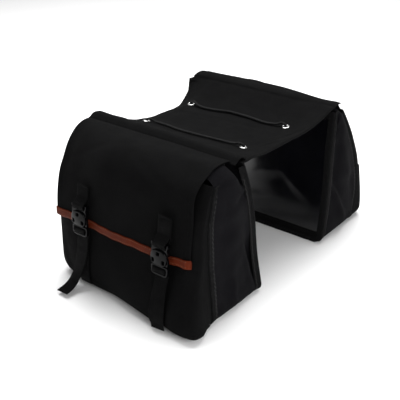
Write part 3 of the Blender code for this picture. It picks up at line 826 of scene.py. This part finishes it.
def saddle_grid(low_y, high_y):
    """Points of the saddle cloth: it climbs over the right hem and its two free edges are turned under."""
    y = np.linspace(low_y, high_y, 110)
    x = np.linspace(-SADDLE_HALF + 0.001, SADDLE_HALF - 0.001, 120)
    across, along = np.meshgrid(y, x, indexing="ij")
    height = saddle_height(along, across) + 0.0002 - aft_drop(along, across)
    hem = run_through(HEM_LINES["right"][:5], 40)
    over_hem = np.interp(across, hem[:, 0], hem[:, 1]) - hem_drop("right", along) + 0.0018
    raised = over_hem + 0.0038 * ease(across, high_y - 0.012, high_y)
    height = np.maximum(height, raised - 1.2 * np.maximum(hem[0, 0] - 0.003 - across, 0.0))
    grid = np.stack([along, across, height], axis=-1)
    turned_under = [(0.0016, -0.0012), (0.0010, -0.0026), (-0.0030, -0.0030), (-0.0090, -0.0030)]
    fore = [grid[:, 0] + np.array([-dx, 0.0, dz]) for dx, dz in reversed(turned_under)]
    aft = [grid[:, -1] + np.array([dx, 0.0, dz]) for dx, dz in turned_under]
    return np.concatenate([np.stack(fore, axis=1), grid, np.stack(aft, axis=1)], axis=1)


def saddle_cloth():
    """The cloth between the bags, with its free edges turned under and sewn."""
    low_y = -HEM_LINES["left"][1][0] - 0.004
    high_y = HEM_LINES["right"][0][0] + 0.0010
    cloth = sheet("saddle_cloth", saddle_grid(low_y, high_y), "saddle", "canvas")
    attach(cloth, "saddle")
    stand_for("saddle_panel")
    seams = []
    y = np.linspace(low_y + 0.006, high_y - 0.006, 90)
    for end, direction in ENDS.items():
        x = np.full(90, direction * (SADDLE_HALF - 0.0075))
        path = np.stack([x, y, saddle_height(x, y) + 0.0010 - aft_drop(x, y)], axis=1)
        seams.append(stitch_row(f"saddle_{end}_stitches", path, (0, 0, 1), "dark_thread"))
        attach(seams[-1], "saddle")


def eyelet_seat(label, end):
    """Middle of an eyelet on the saddle, and the saddle's normal there."""
    x, y = EYELETS[label, end].xy
    step = 0.004
    slope_x = (saddle_z(x + step, y) - saddle_z(x - step, y)) / (2 * step)
    slope_y = (saddle_z(x, y + step) - saddle_z(x, y - step)) / (2 * step)
    return Vector((x, y, float(saddle_z(x, y)))), Vector((-slope_x, -slope_y, 1.0)).normalized()


def eyelets():
    """Rolled, plated eyelets with their washers below the cloth."""
    rim = [(0.0040, -0.0034), (0.0047, -0.0034), (0.0047, 0.0010), (0.0064, 0.0011), (0.0067, 0.0017),
           (0.0063, 0.0024), (0.0056, 0.0028), (0.0049, 0.0028), (0.0043, 0.0023), (0.0040, 0.0014)]
    washer = [(0.0049, -0.0012), (0.0070, -0.0012), (0.0072, -0.0018), (0.0066, -0.0026), (0.0052, -0.0026)]
    for label, end in EYELETS:
        base, normal = eyelet_seat(label, end)
        for name, node, profile in (("rolled_eyelet", "eyelet", rim), ("eyelet_washer", "washer", washer)):
            piece = turned(f"{label}_{end}_{name}", profile, base, normal, "steel")
            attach(piece, "saddle")
            stand_for(f"{label}_{end}_{node}")


# How each cord lies between its eyelets, as (x, sway) pairs, as in the CAD source.
CORD_LYING = [(-0.098, 0.000), (-0.088, 0.003), (-0.074, 0.005), (-0.058, 0.004), (-0.040, 0.001),
              (-0.020, -0.002), (0.000, -0.003), (0.020, -0.002), (0.040, 0.000), (0.058, 0.002),
              (0.074, 0.003), (0.088, 0.002), (0.098, 0.000)]


def knot(name, place):
    """A tight knot of cord round a place."""
    turns = np.linspace(0.0, 2 * math.pi, 48)
    loop = np.stack([np.sin(turns) + 2 * np.sin(2 * turns), np.cos(turns) - 2 * np.cos(2 * turns),
                     -1.1 * np.sin(3 * turns)], axis=1) * 0.00105
    piece = sweep(name, loop[:-1] + place, circle(0.0019, 10), (0.3, 0.2, 1.0), "cord")
    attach(piece, "saddle")
    return piece


def lacing_cords():
    """A braided cord between each pair of eyelets, knotted under the cloth at both ends."""
    lift = 0.0010 + CORD_RADIUS + 0.0008
    heights = {0: 0.0034, 1: 0.0008, len(CORD_LYING) - 2: 0.0008, len(CORD_LYING) - 1: 0.0034}
    for label, side in SIDES.items():
        lying = []
        for index, (x, sway) in enumerate(CORD_LYING):
            y = EYELETS[label, "fore"].y - side * sway
            lying.append((x, y, float(saddle_height(x, y)) + lift + heights.get(index, 0.0)))
        ends = {}
        for end in ENDS:
            base, normal = eyelet_seat(label, end)
            ends[end] = [tuple(base + normal * height) for height in (-0.0125, -0.0065, 0.0, 0.0046)]
        route = run_through(ends["fore"] + lying + ends["aft"][::-1], 150)
        cord = sweep(f"{label}_braided_cord", route, circle(CORD_RADIUS, 12), (0, 1, 0), "cord")
        knots = [knot(f"{label}_fore_knot", route[0]), knot(f"{label}_aft_knot", route[-1])]
        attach(cord, "saddle")
        stand_for(f"{label}_lacing_cord")


# ---------------------------------------------------------------- hems and flaps

def hems():
    """The roll of cloth over each bag's top edge."""
    x = np.linspace(-SADDLE_HALF - 0.0005, SADDLE_HALF + 0.0005, 90)[None, :]
    for label, side in SIDES.items():
        section = run_through(HEM_LINES[label], 26)
        u = section[:, :1] + 0.0 * x
        wave = unevenness(u, x, 0.07, 0.0005, 21 + side)
        closing = ease(np.abs(x), 0.147, SADDLE_HALF) * ease(section[:, 1:], 0.2560, 0.2630)
        z = section[:, 1:] - hem_drop(label, x) + wave - 0.0022 * closing ** 2
        grid = np.stack([x + 0.0 * u, side * u, z], axis=-1)
        hem = sheet(f"{label}_hem_roll", grid, "hem", "canvas", flip=side < 0)
        stand_for(f"{label}_top_hem")
        row = grid[-5] + np.array([0.0, 0.0, 0.0009])
        stitches = stitch_row(f"{label}_hem_stitches", resample(row[2:-2], 200), (0, 0, 1), "dark_thread")
        for piece in (hem, stitches):
            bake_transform(piece)


# Folds in each flap as (x, share of the way down, heading, half length, half width, height).
FLAP_FOLDS = {
    "left": [(0.000, 0.30, 0, 0.060, 0.10, 0.0016), (-0.020, 0.62, 0, 0.045, 0.20, 0.0020),
             (0.120, 0.55, 90, 0.18, 0.012, 0.0016), (-0.115, 0.50, 90, 0.22, 0.014, 0.0014),
             (0.060, 0.42, 60, 0.20, 0.018, -0.0010), (-0.060, 0.36, 115, 0.16, 0.018, -0.0012),
             (0.000, 1.00, 0, 0.035, 0.10, 0.0022), (0.139, 1.00, 90, 0.10, 0.010, 0.0030)],
    "right": [(0.000, 0.30, 0, 0.060, 0.10, 0.0014), (0.020, 0.62, 0, 0.045, 0.20, 0.0020),
              (0.060, 0.42, 110, 0.20, 0.018, -0.0012), (-0.060, 0.46, 75, 0.16, 0.018, -0.0012),
              (0.000, 1.00, 0, 0.035, 0.10, 0.0020), (-0.139, 1.00, 90, 0.10, 0.010, 0.0026)],
}


def flap_surface(label, side, rows, columns):
    """Points and outward normals of a flap's middle surface."""
    x = np.linspace(-FLAP_HALF, FLAP_HALF, columns)
    at = {part: line[:, None, :] for part, line in flap_sections(label, rows).items()}
    section = between_ends(at, x[None, :, None])
    drop = np.exp(-((x - 0.088) / 0.034) ** 2)
    drop = drop - 0.35 * ease(x, 0.125, FLAP_HALF) - 0.3 * ease(-x, -0.03, 0.05)
    section[..., 1] -= 0.0055 * drop[None, :] * np.linspace(0.0, 1.0, rows)[:, None] ** 3
    grid = np.stack([np.broadcast_to(x, section.shape[:2]), side * section[..., 0], section[..., 1]], axis=-1)
    out = normals_of(grid) * -side
    share = np.linspace(0.0, 1.0, rows)[:, None] + 0.0 * x[None, :]
    along = x[None, :] + 0.0 * share
    settled = ease(share, 0.04, 0.20)
    at_buckle = sum(np.exp(-((along - centre_x) / 0.020) ** 2) for centre_x in STRAP_X.values())
    at_buckle = at_buckle * ease(share, 0.55, 0.75)
    relief = folds(FLAP_FOLDS[label], along, share) + unevenness(along, share * 0.22, 0.10, 0.0010, 31 + side)
    relief = relief * settled * (1 - at_buckle) - 0.0006 * at_buckle
    return grid + out * relief[..., None], out


def flaps():
    """The flap cloth, its leather edge and the seams in it."""
    for label, side in SIDES.items():
        grid, out = flap_surface(label, side, rows=96, columns=110)
        cloth = sheet(f"{label}_flap_cloth", grid, "flap", "canvas", flip=side > 0)
        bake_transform(cloth)
        stand_for(f"{label}_flap")
        leather_edge(label, side, grid, out)
        sewn = slice(14, -8)
        for end, column in (("fore", 3), ("aft", -4)):
            path = (grid + out * 0.0010)[sewn, column]
            row = stitch_row(f"{label}_flap_{end}_stitches", path, out[sewn, column], "dark_thread")
            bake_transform(row)


def leather_edge(label, side, grid, out):
    """Leather folded round the flap's lower edge, sewn with pale thread."""
    foot, outward = grid[-1].copy(), out[-1]
    up = unit(grid[-6] - grid[-1])
    x = foot[:, 0]
    section = run_through([(0.0122, 0.0014), (0.0118, 0.0022), (0.0085, 0.0027), (0.0040, 0.0027),
                           (0.0000, 0.0024), (-0.0019, 0.0012), (-0.0023, -0.0004), (-0.0014, -0.0018),
                           (0.0015, -0.0024), (0.0090, -0.0024)], 22)
    wobble = 0.0005 * np.sin(x * 95) + 0.0004 * np.sin(x * 210 + 1.0)
    lift = 0.0003 * np.sin(x * 130 + 0.5) + 0.0022 * ease(x, 0.128, FLAP_HALF) * (label == "left")
    foot[[0, -1], 0] *= 1.016
    closing = np.ones((len(x), 1))
    closing[[0, -1]] = 0.2
    rows = [foot + up * (rise + wobble[:, None]) + outward * closing * (away + lift[:, None] * (away > 0))
            for rise, away in section]
    edge = sheet(f"{label}_leather_edge", np.stack(rows), "leather", "leather", flip=side < 0)
    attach(edge, f"{label}_flap")
    stand_for(f"{label}_flap_trim")
    for name, rise, away in (("upper", 0.0104, 0.0030), ("lower", 0.0016, 0.0031)):
        path = foot + up * (rise + wobble[:, None]) + outward * (away + lift[:, None])
        row = stitch_row(f"{label}_leather_{name}_stitches", path[1:-1], outward[1:-1], "pale_thread",
                         spacing=0.0042, length=0.0026, radius=0.00033)
        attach(row, f"{label}_flap")


# ---------------------------------------------------------------- the bags

def rim_path(aft_corner, fore_corner, top=0.2380, mouth=False):
    """(x, z) points down a bag's aft end, round its corner, along the floor and up its fore end.

    With its mouth, each end starts with the stretch that folds in over the load.
    """
    aft, fore = (rim_half(corner, top, mouth) for corner in (aft_corner, fore_corner))
    return np.vstack([aft, fore[-2::-1] * [-1.0, 1.0]])


def rim_half(corner, top, mouth):
    """One end of a rim path, as (distance from the middle, height) points down to the middle of the floor."""
    over_load = [(0.1270, 0.2590), (0.1400, 0.2530), (0.1520, 0.2450), (BAG_HALF, top)]
    rise = np.linspace(top, FLOOR_PATH + corner, 60)
    turn = np.linspace(0.0, math.pi / 2, 14)[1:]
    run = np.linspace(BAG_HALF - corner, 0.0, 34)[1:]
    parts = [run_through(over_load, 12)[:-1]] if mouth else []
    parts.append(np.stack([np.full(len(rise), BAG_HALF), rise], axis=1))
    parts.append(np.stack([BAG_HALF - corner + corner * np.cos(turn),
                           FLOOR_PATH + corner - corner * np.sin(turn)], axis=1))
    parts.append(np.stack([run, np.full(len(run), FLOOR_PATH)], axis=1))
    return np.vstack(parts)


def rim_normals(path):
    """Outward directions along a rim path in the x-z plane."""
    heading = unit(np.gradient(path, axis=0))
    return np.stack([-heading[:, 1], heading[:, 0]], axis=1)


# Creases in each bag's ends as (u, z, heading, half length, half width, height).
GUSSET_FOLDS = {
    "left": [(0.1285, 0.0635, 67, 0.058, 0.0070, 0.0085), (0.118, 0.076, 72, 0.048, 0.0110, -0.0200),
             (0.166, 0.130, 88, 0.070, 0.0200, 0.0040), (0.196, 0.160, 95, 0.040, 0.0120, -0.0030),
             (0.150, 0.205, 165, 0.030, 0.0080, -0.0040), (0.186, 0.050, 75, 0.045, 0.0100, -0.0030),
             (0.168, 0.045, 82, 0.040, 0.0070, 0.0030)],
    "right": [(0.150, 0.065, -61, 0.058, 0.0080, 0.0065), (0.135, 0.150, 84, 0.060, 0.0080, -0.0040),
              (0.165, 0.140, 110, 0.060, 0.0160, 0.0030), (0.195, 0.090, 105, 0.040, 0.0120, -0.0026),
              (0.140, 0.105, -61, 0.040, 0.0080, -0.0060)],
}


def gusset_place(label, side, outer, inner, share):
    """Points of a gusset at a share of the way from the outer seam's path to the inner one's."""
    x = outer[:, :1] + (inner[:, :1] - outer[:, :1]) * share
    z = outer[:, 1:] + (inner[:, 1:] - outer[:, 1:]) * share
    first = outer_seam(label, x, z) - 0.0012
    last = inner_u[label](z) + 0.0040
    u = first + (last - first) * share
    out = rim_normals(outer)
    wall = ease(z, FLOOR_PATH, 0.030)
    clear_of_seams = np.clip(np.sin(math.pi * share), 0.0, 1.0) ** 0.5
    relief = np.sin(math.pi * share) * (0.0040 + 0.0030 * ease(z, 0.02, 0.12)) * wall
    relief = relief + folds(GUSSET_FOLDS[label], u, z) * wall * clear_of_seams
    relief = relief + unevenness(u, z, 0.06, 0.0008, 41 + side) * wall * clear_of_seams
    relief = relief + (1 - wall) * (FLOOR_PATH - 0.0010) * ease(np.sin(math.pi * share), 0.0, 0.5)
    sink = 0.022 * ease(share, 0.62, 0.86) * ease(1.02 - share, 0.0, 0.08) * ease(z, 0.205, 0.250)
    moved_x = x + out[:, :1] * relief + bow(label, x, z) * (0.35 + 0.65 * share)
    moved_z = np.minimum(z + out[:, 1:] * relief - sink, flap_ceiling(label, x, u))
    return np.stack([moved_x, side * u, moved_z], axis=-1)


def gussets():
    """The strip that makes the ends and the bottom of each bag, with its zigzag-sewn top edges."""
    for label, side in SIDES.items():
        share = np.linspace(0.0, 1.0, 52)[None, :]
        outer = rim_path(AFT_CORNER, FORE_CORNER, mouth=True)
        inner = rim_path(INNER_CORNER, INNER_CORNER, mouth=True)
        grid = gusset_place(label, side, outer, inner, share)
        cloth = sheet(f"{label}_gusset_cloth", grid, "body", "gusset_canvas", flip=side > 0)
        hang(cloth)
        stand_for(f"{label}_gusset")
        for end, row in (("aft", 1), ("fore", -2)):
            direction = ENDS[end]
            line = grid[row] + np.array([direction * 0.0009, 0.0, 0.0])
            zigzag = stitch_row(f"{label}_{end}_gusset_stitches", line, (direction, 0, 0), "thread",
                                spacing=0.0022, length=0.0042, radius=0.00036, slant=52)
            hang(zigzag)


def seam_line(label, side, corners, top, share):
    """A seam's places round a bag, their outward directions and which of them lie along the floor."""
    path = rim_path(*corners, top=top)
    out = rim_normals(path)
    outward = np.stack([out[:, 0], np.zeros(len(path)), out[:, 1]], axis=1)
    place = gusset_place(label, side, path, path, np.array([[share]]))[:, 0]
    return place, outward, path[:, 1:] < FLOOR_SEAM


def edging(name, seam, across, section, floor_rise, flip):
    """Canvas folded over a seam, from its (across, outward) section; along the floor it rises less."""
    place, outward, on_floor = seam
    grid = np.stack([place + across * away + outward * np.where(on_floor, np.minimum(rise, floor_rise), rise)
                     for away, rise in section], axis=0)
    return sheet(name, grid, "edging", "seam_canvas", flip=flip)


def outer_seams():
    """The welt over the seam between gusset and face, and the zigzag that sews it down."""
    section = run_through([(-0.0095, 0.0004), (-0.0080, 0.0016), (-0.0010, 0.0019), (0.0016, 0.0030),
                           (0.0034, 0.0026), (0.0042, 0.0008), (0.0038, -0.0016)], 18)
    for label, side in SIDES.items():
        seam = seam_line(label, side, (AFT_CORNER, FORE_CORNER), 0.2420, 0.0)
        place, outward, _ = seam
        across = np.array([0.0, side, 0.0])
        welt = edging(f"{label}_face_welt", seam, across, section, 0.0016, side > 0)
        line = (place - across * 0.0062 + outward * 0.0024)[4:-4]
        stitches = stitch_row(f"{label}_welt_stitches", line, outward[4:-4], "thread", spacing=0.0040,
                              length=0.0080, radius=0.00032, slant=42)
        for piece in (welt, stitches):
            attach(piece, f"{label}_bag")
        stand_for(f"{label}_outer_welt")


def inner_bindings():
    """Tape folded over the edge where gusset and inner panel meet, sewn with a zigzag."""
    section = run_through([(-0.0080, 0.0012), (-0.0060, 0.0020), (0.0000, 0.0026), (0.0030, 0.0036),
                           (0.0056, 0.0034), (0.0072, 0.0012), (0.0076, -0.0030), (0.0074, -0.0080)], 24)
    for label, side in SIDES.items():
        seam = seam_line(label, side, (INNER_CORNER, INNER_CORNER), TAPE_TOP[label], 1.0)
        place, outward, _ = seam
        inward = np.array([0.0, -side, 0.0])
        tape = edging(f"{label}_edge_tape", seam, inward, section, 0.0014, side < 0)
        line = (place - inward * 0.0050 + outward * 0.0030)[6:-6]
        stitches = stitch_row(f"{label}_tape_stitches", line, outward[6:-6], "thread", spacing=0.0046,
                              length=0.0056, radius=0.00030, slant=40)
        for piece in (tape, stitches):
            hang(piece)
        stand_for(f"{label}_inner_binding")


# Dents in an inner panel, and folds in a face, as (x, z, heading, half length, half width, height).
PANEL_DENTS = [
    (0.055, 0.125, 20, 0.050, 0.016, -0.0022), (0.100, 0.100, -35, 0.030, 0.010, -0.0020),
    (-0.060, 0.060, 5, 0.090, 0.020, 0.0020), (0.030, 0.035, 8, 0.110, 0.014, 0.0022),
    (-0.090, 0.170, 50, 0.050, 0.018, -0.0018),
]


def panel_grid(label, side, z):
    """Points of a coated panel at each of the heights z, calm along its edges."""
    half = BAG_HALF - 0.0005 - corner_inset(z, INNER_CORNER)
    across = np.linspace(-1.0, 1.0, 90)[None, :]
    x = half[:, None] * across
    height = z[:, None] + 0.0 * x
    x = x + bow(label, x, height)
    calm = np.sin(math.pi * np.linspace(0.02, 0.98, len(z)))[:, None] * (1 - np.abs(across) ** 6)
    relief = (folds(PANEL_DENTS, x, height) + unevenness(x, height, 0.11, 0.0012, 51 + side)) * calm
    u = inner_u[label](height) - 0.0013 + relief - 0.0008 * calm
    return np.stack([x, side * u, height], axis=-1)


def inner_panels():
    """The smooth, coated panels that face the wheel, with a band of canvas along the foot and the head."""
    for label, side in SIDES.items():
        z = FLOOR_PATH + (PANEL_TOP[label] - FLOOR_PATH) * np.linspace(0.0, 1.0, 70) ** 1.25
        grid = panel_grid(label, side, z)
        panel = sheet(f"{label}_coated_panel", grid, "panel", "coated", flip=side > 0)
        hang(panel)
        stand_for(f"{label}_inner_panel")
        low = grid[z < FOOT_BAND]
        outward = np.array([0.0, -side * 0.0017, 0.0])
        foot = sheet(f"{label}_foot_band", low + outward, "foot", "canvas", flip=side > 0)
        stitches = stitch_row(f"{label}_foot_stitches", low[-2, 2:-2] + 1.5 * outward, (0, -side, 0),
                              "dark_thread")
        for piece in (foot, stitches):
            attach(piece, f"{label}_bag")
        high = grid[z > PANEL_TOP[label] - HEAD_BAND] * np.array([1.008, 1.0, 1.0])
        head = sheet(f"{label}_head_band", high, "head", "canvas", flip=side > 0)
        hang(head)


FACE_FOLDS = [
    (0.106, 0.060, 90, 0.075, 0.011, -0.0040), (-0.062, 0.070, 90, 0.060, 0.016, -0.0012),
    (0.000, 0.060, 0, 0.050, 0.035, 0.0026), (0.030, 0.012, 6, 0.080, 0.008, -0.0022),
    (-0.060, 0.022, -8, 0.060, 0.008, -0.0018), (0.140, 0.110, 80, 0.070, 0.008, 0.0020),
    (0.128, 0.030, 55, 0.030, 0.008, -0.0020), (-0.135, 0.050, 110, 0.045, 0.010, -0.0022),
]


def face_grid(label, side):
    """Points of a bag's face, which curls under at the floor and sags between its corners."""
    z = FLOOR_PATH + (0.2440 - FLOOR_PATH) * np.linspace(0.0, 1.0, 84)[:, None] ** 1.7
    across = np.sin(math.pi / 2 * np.linspace(-1.0, 1.0, 120))[None, :]
    x = (BAG_HALF - corner_inset(z, np.where(across > 0, AFT_CORNER, FORE_CORNER))) * across
    seam = outer_seam(label, x, z) + 0.0030
    face = np.minimum(face_u(z) + low_swell(label, x, z), flap_room(label, x, z))
    full = 1.0 if label == "left" else 0.25
    power = 3.4 + 7.0 * full * ease(x, -0.05, 0.08)
    swell = (1.0 - np.abs(across) ** power) ** (1 / power)
    spread = 0.013 * full * ease(swell, 0.0, 0.55) * ease(across, 0.70, 0.97) * ease(0.09 - z, 0.0, 0.08)
    under = np.clip((0.022 - z) / (0.022 - FLOOR_PATH), 0.0, 1.0)
    curl = (1.0 - under ** 4) ** 0.25
    calm = swell * curl * ease(0.235 - z, 0.0, 0.05)
    relief = (folds(FACE_FOLDS, x, z) + unevenness(x, z, 0.10, 0.0012, 61 + side)) * calm
    at_strap = sum(np.exp(-((x - centre_x) / 0.016) ** 2) for centre_x in STRAP_X.values())
    relief = np.minimum(relief, 0.003 * (1 - at_strap)) - 0.0012 * at_strap * calm
    u = seam + np.maximum(face - seam, 0.0020) * swell * curl + relief
    return np.stack([x + bow(label, x, z) * 0.35 + spread, side * u, z + 0.0 * x], axis=-1)


def face_panels():
    """The soft, full face of each bag."""
    for label, side in SIDES.items():
        grid = face_grid(label, side)
        panel = sheet(f"{label}_face_cloth", grid, "body", "canvas", flip=side < 0)
        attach(panel, f"{label}_bag")
        stand_for(f"{label}_outer_panel")


# ---------------------------------------------------------------- straps and buckles

def lifted(section, lift):
    """Raise the part of a strap's section that goes with its buckle."""
    low, high = BUCKLE_ZONE
    return [(u, z + lift if low < z < high else z) for u, z in section]


def lean(end, z):
    """How far a strap and its buckle lean aft at a height."""
    return 0.10 * (np.maximum(z, 0.0900) - 0.125 - 2.0 * BUCKLE_LIFT[end])


def strap_points(label, end, section, count):
    """Even points along the middle of a strap with the given section."""
    line = run_through(section, count)
    u = line[:, 0] + low_swell(label, STRAP_X[end], line[:, 1])
    return np.stack([STRAP_X[end] + lean(end, line[:, 1]), SIDES[label] * u, line[:, 1]], axis=1)


def box_stitches(label, end, u, low, high):
    """A sewn box with a cross in it, which holds a strap to the flap."""
    half = WEBBING_HALF - 0.0025
    side = SIDES[label]
    corners = [(-half, low), (half, low), (half, high), (-half, high), (-half, low), (half, high),
               (-half, high), (half, low)]
    points = resample(np.array([(STRAP_X[end] + lean(end, z) + x, side * u, z) for x, z in corners]), 160)
    row = stitch_row(f"{label}_{end}_box_stitches", points, (0, side, 0), "dark_thread", spacing=0.0024,
                     length=0.0021, radius=0.00036, slant=35)
    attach(row, f"{label}_flap")
    return row


def webbing_strap(name, node, points, across, body):
    """Webbing along a path, in the place of a CAD strap."""
    strap = sweep(name, points, band(WEBBING_HALF, WEBBING), across, "webbing")
    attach(strap, body)
    stand_for(node)
    return strap


def straps():
    """The sewn upper straps and the adjustable lower straps with their loose tails."""
    tail = ease(np.linspace(0.0, 1.0, 260), 0.62, 0.90)
    for label, side in SIDES.items():
        for end, lift in BUCKLE_LIFT.items():
            name = f"{label}_{end}"
            points = strap_points(label, end, lifted(UPPER_STRAP, lift), 120)
            upper = webbing_strap(f"{name}_sewn_strap", f"{name}_upper_strap", points, (1, 0, 0),
                                  f"{label}_flap")
            sewn = box_stitches(label, end, 0.2540, 0.1690 + lift, 0.1900)
            points = strap_points(label, end, lifted(LOWER_STRAP + TAILS[end], lift), len(tail))
            points[:, 0] += (-0.014 if end == "fore" else 0.007) * tail
            twist = side * (0.25 if end == "fore" else -0.10) * tail
            across = np.stack([np.ones(len(tail)), twist, np.zeros(len(tail))], axis=1)
            lower = webbing_strap(f"{name}_running_strap", f"{name}_lower_strap", points, across,
                                  f"{label}_bag")


def place_part(item, label, end, body, node=None):
    """Move a buckle part from its own (x, depth, z) space to its strap."""
    side = SIDES[label]
    for vertex in item.data.vertices:
        x, depth, z = vertex.co
        z += BUCKLE_LIFT[end]
        vertex.co = (STRAP_X[end] + lean(end, z) + x, side * (BUCKLE_BACK + depth), z)
    if side < 0:
        item.data.flip_normals()
    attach(item, body)
    if node:
        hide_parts(node)


def mirrored(right):
    """A whole outline from its right half."""
    return right + [(-x, z) for x, z in reversed(right)]


def crowned(lid):
    """Give a buckle's cover an even mesh, soft edges and a domed top."""
    remesh = lid.modifiers.new("even mesh", "REMESH")
    remesh.mode = "VOXEL"
    remesh.voxel_size = 0.0005
    smooth = lid.modifiers.new("soft edges", "SMOOTH")
    smooth.iterations = 3
    bake_modifiers(lid)
    for vertex in lid.data.vertices:
        x, depth, z = vertex.co
        dome = max(0.0, 1.0 - (x / 0.0170) ** 2) * max(0.0, 1.0 - ((z - 0.1290) / 0.0170) ** 2)
        vertex.co.y = depth + 0.0022 * dome * max(0.0, depth - 0.0050) / 0.0040
    lid.data.shade_smooth()


# Outlines of the buckle's parts as (x, z) pairs: right halves, and one whole prong.
SPINE = [(0.0086, 0.1144), (0.0090, 0.1300), (0.0158, 0.1322), (0.0163, 0.1388), (0.0150, 0.1440),
         (0.0166, 0.1500), (0.0172, 0.1526), (0.0150, 0.1536), (0.0100, 0.1530)]
COVER = [(0.0060, 0.1146), (0.0105, 0.1150), (0.0138, 0.1175), (0.0158, 0.1225), (0.0164, 0.1290),
         (0.0152, 0.1345), (0.0118, 0.1395), (0.0060, 0.1424)]
STRAP_FRAME = [(0.0100, 0.0940), (0.0140, 0.0950), (0.0166, 0.0985), (0.0168, 0.1085), (0.0154, 0.1127),
               (0.0090, 0.1130)]
PRONG = [(0.0115, 0.1137), (0.0151, 0.1137), (0.0158, 0.1180), (0.0160, 0.1235), (0.0150, 0.1282),
         (0.0136, 0.1294), (0.0118, 0.1280), (0.0122, 0.1210)]
PRONG_SIDES = {"front": -1, "rear": 1}
# Half width of the gaps that the webbing passes through.
STRAP_GAP = 0.0131


def buckle(label, end):
    """A side-release buckle: a socket with its cover, a strap frame and two prongs."""
    name = f"{label}_{end}"
    socket = plate(f"{name}_socket_core", mirrored(SPINE), 0.0, 0.0070, rounding=0.0009,
                   holes=[rounded(STRAP_GAP, 0.1447, 0.1489, 0.0012)])
    place_part(socket, label, end, f"{label}_flap", f"{name}_socket")
    holes = [rounded(0.0030, 0.1340, 0.1385, 0.0014), rounded(0.0024, 0.1195, 0.1262, 0.0012, 0.0102),
             rounded(0.0024, 0.1195, 0.1262, 0.0012, -0.0102)]
    lid = plate(f"{name}_socket_cover", mirrored(COVER), 0.0050, 0.0090, holes=holes, rounding=0.0012)
    crowned(lid)
    place_part(lid, label, end, f"{label}_flap")
    base = plate(f"{name}_strap_frame", mirrored(STRAP_FRAME), 0.0, 0.0064,
                 holes=[rounded(STRAP_GAP, low, low + 0.0038, 0.0011) for low in (0.0979, 0.1059)])
    place_part(base, label, end, f"{label}_bag", f"{name}_buckle_base")
    for prong, direction in PRONG_SIDES.items():
        shape = [(direction * x, z) for x, z in PRONG]
        arm = plate(f"{name}_{prong}_arm", shape, 0.0012, 0.0050, rounding=0.0006)
        place_part(arm, label, end, f"{name}_prong_{prong}", f"{name}_prong_{prong}")


def boards():
    """A stiffener board behind each inner panel; the bottom boards keep their CAD shape under paint."""
    for label, side in SIDES.items():
        low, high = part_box(f"{label}_inner_board")
        z = np.linspace(low.z, high.z - BOARD_HEADROOM, 24)[:, None]
        x = np.linspace(low.x, high.x, 24)[None, :]
        grid = np.stack([x + 0.0 * z, side * (inner_u[label](z) + BOARD_GAP) + 0.0 * x, z + 0.0 * x], axis=-1)
        board = sheet(f"{label}_stiffener_board", grid, "board", "board", flip=side < 0)
        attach(board, f"{label}_bag")
        stand_for(f"{label}_inner_board")
        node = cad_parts[f"{label}_bottom_board"]
        node.data.materials.clear()
        node.data.materials.append(PAINTS["board"])


make_camera()
lacing_cords()
make_studio()
saddle_cloth()
eyelets()
hems()
flaps()
gussets()
outer_seams()
inner_bindings()
inner_panels()
face_panels()
straps()
for side_name in SIDES:
    for end_name in ENDS:
        buckle(side_name, end_name)
boards()
